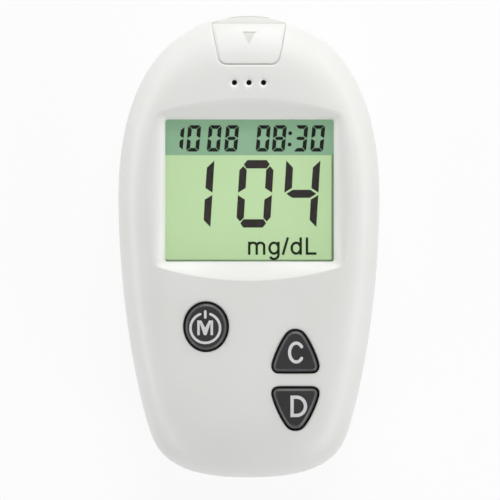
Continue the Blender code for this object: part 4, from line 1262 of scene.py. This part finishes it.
def unitShapes():
    foot, top, tall, width = (unitForm[name] for name in ("foot", "top", "tall", "pen"))
    rim = width / 2
    serif = top - unitForm["serif"]
    lines = [
        [(0.05, foot), (0.05, serif)],
        [*arc((0.80, 0.16), (0.743, top - 0.16 - rim), 180, 0, 21), (1.543, foot)],
        [*arc((2.285, 0.13), (0.731, top - 0.13 - rim), 180, 0, 22), (3.016, foot)],
        [(5.88, serif), *arc((4.99, -1.62), (0.89, 0.86), 0, -150, 26)],
        [(6.75, foot), (7.76, tall)],
        [(10.31, tall), (10.31, foot)],
        [(11.56, tall), (11.56, foot + rim), (13.46, foot + rim)],
    ]
    bowls = unitForm["bowls"]
    for x in bowls["middles"]:      # each bowl as two overlapping halves
        lines += [arc((x, (foot + top) / 2), (bowls["half"], (top - foot) / 2 - rim), start,
                      start + bowls["sweep"]) for start in bowls["starts"]]
    return merged([pen(line, width) for line in lines])


def makeDisplay():
    form = displayForm
    x, y = dishForm["centre"]
    width, length = form["film"]
    low, high = y - length / 2, y + length / 2
    band, edge = form["bandFoot"], form["edgeRight"]
    sheets = {name: [[roundedRectangle(width, end - start, form["filmCorner"], (x, (start + end) / 2))]]
              for name, start, end in (("film", low, band), ("band", band, high))}
    half = width / 2
    corner = merged([[(edge, low), (half, low), (half, band), (edge, band)],
                     [(-half, low), (edge, low), (edge, form["edgeFoot"]), (-half, form["edgeFoot"])]])
    clock = digitShapes(smallDigits)
    clock += [[circle(form["clockDots"]["width"], place, 20)] for place in form["clockDots"]["places"]]
    for name, shapes, top, depth, spacing, finish in (
            ("film", sheets["film"], form["filmTop"], form["filmDepth"], 2, "displayGlass"),
            ("band", sheets["band"], form["filmTop"], form["filmDepth"], 2, "displayBand"),
            ("edge", corner, form["edgeTop"], form["filmDepth"], 2, "edgeShadow"),
            ("reading", digitShapes(bigDigits), form["inkTop"], form["inkDepth"], 1, "segmentInk"),
            ("clock", clock, form["inkTop"], form["inkDepth"], 1, "smallInk"),
            ("unit", unitShapes(), form["inkTop"], form["inkDepth"], 1, "unitInk")):
        skin = markSkin(shapes, levelSurface(form["glassTop"]), top - form["glassTop"], depth, spacing)
        dress(skin.make(f"display_{name}"), finish, "display_glass", "case")


makeDisplay()
print("display made")


# Plain rules on the rear label, and the mark on the cell's positive side

backMarks = {
    "label": {"face": 0.1, "centre": (0, 17), "border": (25.6, 19.6), "stroke": 0.22, "corner": 1.1,
              "ends": (-10.8, 10.8), "rules": (21.6, 18.4, 15.2, 12.0), "lift": 0.02, "depth": 0.03,
              "spacing": 2},
    "cell": {"face": 1.9, "centre": (0, -13), "arm": 1.5, "stroke": 0.55, "rim": 17.6, "rimStroke": 0.3,
             "lift": 0.02, "depth": 0.06, "spacing": 2},
}


def addMarks(name, form, shapes, finishName, slotName):
    skin = markSkin(shapes, levelSurface(form["face"]), form["lift"], form["depth"], form["spacing"])
    dress(skin.make(name), finishName, slotName, "case")


def makeBackMarks():
    form = backMarks["label"]
    width, length = form["border"]
    stroke = form["stroke"]
    start, end = form["ends"]
    border = [roundedRectangle(width - 2 * inset, length - 2 * inset, form["corner"] - inset, form["centre"])
              for inset in (0, stroke)]
    half = stroke / 2
    rules = [[[(start, y - half), (end, y - half), (end, y + half), (start, y + half)]]
             for y in form["rules"]]
    addMarks("label_rules", form, [border, *rules], "labelInk", "label_film")
    form = backMarks["cell"]
    x, y = form["centre"]
    arm, half = form["arm"], form["stroke"] / 2
    plus = [(x + a, y + b) for a, b in ((arm, -half), (arm, half), (half, half), (half, arm), (-half, arm),
                                        (-half, half), (-arm, half), (-arm, -half), (-half, -half),
                                        (-half, -arm), (half, -arm), (half, -half))]
    rim = [circle(form["rim"] - 2 * inset, form["centre"], 96) for inset in (0, form["rimStroke"])]
    addMarks("cell_mark", form, [[plus], rim], "brightSteel", "bright_steel")


makeBackMarks()
print("marks on the back made")


# Finishes of the pieces that stay as they are in the CAD: white_plastic gets whitePlastic, and so on

for subpart in frame["record"]["subparts"]:
    first, *others = subpart["material_slot"].split("_")
    for place in bpy.data.objects[subpart["node"]].material_slots:
        place.material = finishes[first + "".join(word.capitalize() for word in others)]


# Camera and light

cameraForm = {"distance": 3000, "aim": (0.2, -0.7, 8), "across": 100, "sensor": 36, "clip": (0.1, 20)}
lampForm = {
    "away": 700,
    # direction from the meter in degrees (0 is +Y, 90 is +X) and above the floor, size and watts
    "lamps": {
        "topLow": (5, 10, (500, 120), 1.3),
        "topMiddle": (5, 25, (500, 160), 0.5),
        "topHigh": (5, 42, (500, 180), 1.6),
        "rightTop": (50, 15, (400, 140), 0.75),
        "rightSide": (88, 14, (500, 150), 0.88),
        "rightFoot": (135, 20, (400, 260), 1.8),
        "leftTop": (-50, 15, (400, 140), 0.64),
        "leftSide": (-88, 8, (500, 140), 1.2),
        "leftFoot": (-135, 20, (400, 260), 1.12),
        "foot": (180, 22, (500, 160), 0.28),
        "underTop": (30, -68, (500, 300), 1.2),
        "underFoot": (210, -68, (500, 300), 0.6),
    },
}
stageForm = {
    "ambient": 0.272,
    "floor": {"width": 4000, "height": -0.02, "colour": (0.95, 0.95, 0.95, 1), "roughness": 0.9,
              "glow": 0.86},
}


def makeCamera():
    camera = bpy.data.cameras.new("camera")
    camera.sensor_width = cameraForm["sensor"]
    camera.lens = cameraForm["sensor"] * cameraForm["distance"] / cameraForm["across"]
    camera.clip_start, camera.clip_end = cameraForm["clip"]
    made = bpy.data.objects.new("camera", camera)
    x, y, z = cameraForm["aim"]
    made.location = (x * mm, y * mm, (z + cameraForm["distance"]) * mm)
    bpy.context.scene.collection.objects.link(made)
    bpy.context.scene.camera = made


def makeLamps():
    for name, (around, above, size, watts) in lampForm["lamps"].items():
        lamp = bpy.data.lights.new(name, 'AREA')
        lamp.shape = 'RECTANGLE'
        lamp.size, lamp.size_y = (side * mm for side in size)
        lamp.energy = watts
        made = bpy.data.objects.new(name, lamp)
        around, above = radians(around), radians(above)
        direction = Vector((sin(around) * cos(above), cos(around) * cos(above), sin(above)))
        made.location = direction * lampForm["away"] * mm
        made.rotation_mode = 'QUATERNION'
        made.rotation_quaternion = direction.to_track_quat('Z', 'Y')
        made.visible_camera = False
        bpy.context.scene.collection.objects.link(made)


def compute(tree, operation, first, second):
    node = tree.nodes.new("ShaderNodeMath")
    node.operation = operation
    feed(tree, node, {0: first, 1: second})
    return node.outputs[0]


def mixShaders(tree, share, first, second):
    return makeNode(tree, "MixShader", {"Fac": share, 1: first, 2: second}, 0)


def seenDirectly(tree):
    # 1 for the rays that the camera, a gloss or a clear piece sees
    rays = tree.nodes.new("ShaderNodeLightPath").outputs
    first = compute(tree, 'MAXIMUM', rays["Is Camera Ray"], rays["Is Glossy Ray"])
    return compute(tree, 'MAXIMUM', first, rays["Is Transmission Ray"])


def makeWorld():
    world = bpy.data.worlds.new("studio")
    world.use_nodes = True
    bpy.context.scene.world = world
    tree = world.node_tree
    ambient = tree.nodes["Background"]
    feed(tree, ambient, {"Color": (1, 1, 1, 1), "Strength": stageForm["ambient"]})
    white = makeNode(tree, "Background", {"Color": (1, 1, 1, 1)}, 0)
    feed(tree, tree.nodes["World Output"],
         {"Surface": mixShaders(tree, seenDirectly(tree), ambient.outputs[0], white)})


def makeFloor():
    form = stageForm["floor"]
    skin = Skin()
    skin.cap(skin.loop(circle(form["width"], (0, 0), 96), form["height"]))
    floor = skin.make("floor")
    if floor.data.polygons[0].normal.z < 0:
        floor.data.flip_normals()
    finish, tree, shader = blankFinish("floorPaper")
    feed(tree, shader, {"Base Color": form["colour"], "Roughness": form["roughness"]})
    glow = makeNode(tree, "Emission", {"Strength": 1.0}, 0)
    share = compute(tree, 'MULTIPLY', seenDirectly(tree), form["glow"])
    paper = mixShaders(tree, share, shader.outputs[0], glow)
    behind = makeNode(tree, "NewGeometry", {}, "Backfacing")
    clear = makeNode(tree, "BsdfTransparent", {}, 0)
    feed(tree, tree.nodes["Material Output"], {"Surface": mixShaders(tree, behind, paper, clear)})
    floor.data.materials.append(finish)
    floor.visible_diffuse = False       # so that the underside is lit where it is seen from below
    floor.visible_shadow = False


makeCamera()
makeLamps()
makeWorld()
makeFloor()
bpy.context.scene.view_settings.view_transform = 'Standard'
print("camera, lamps and floor ready")
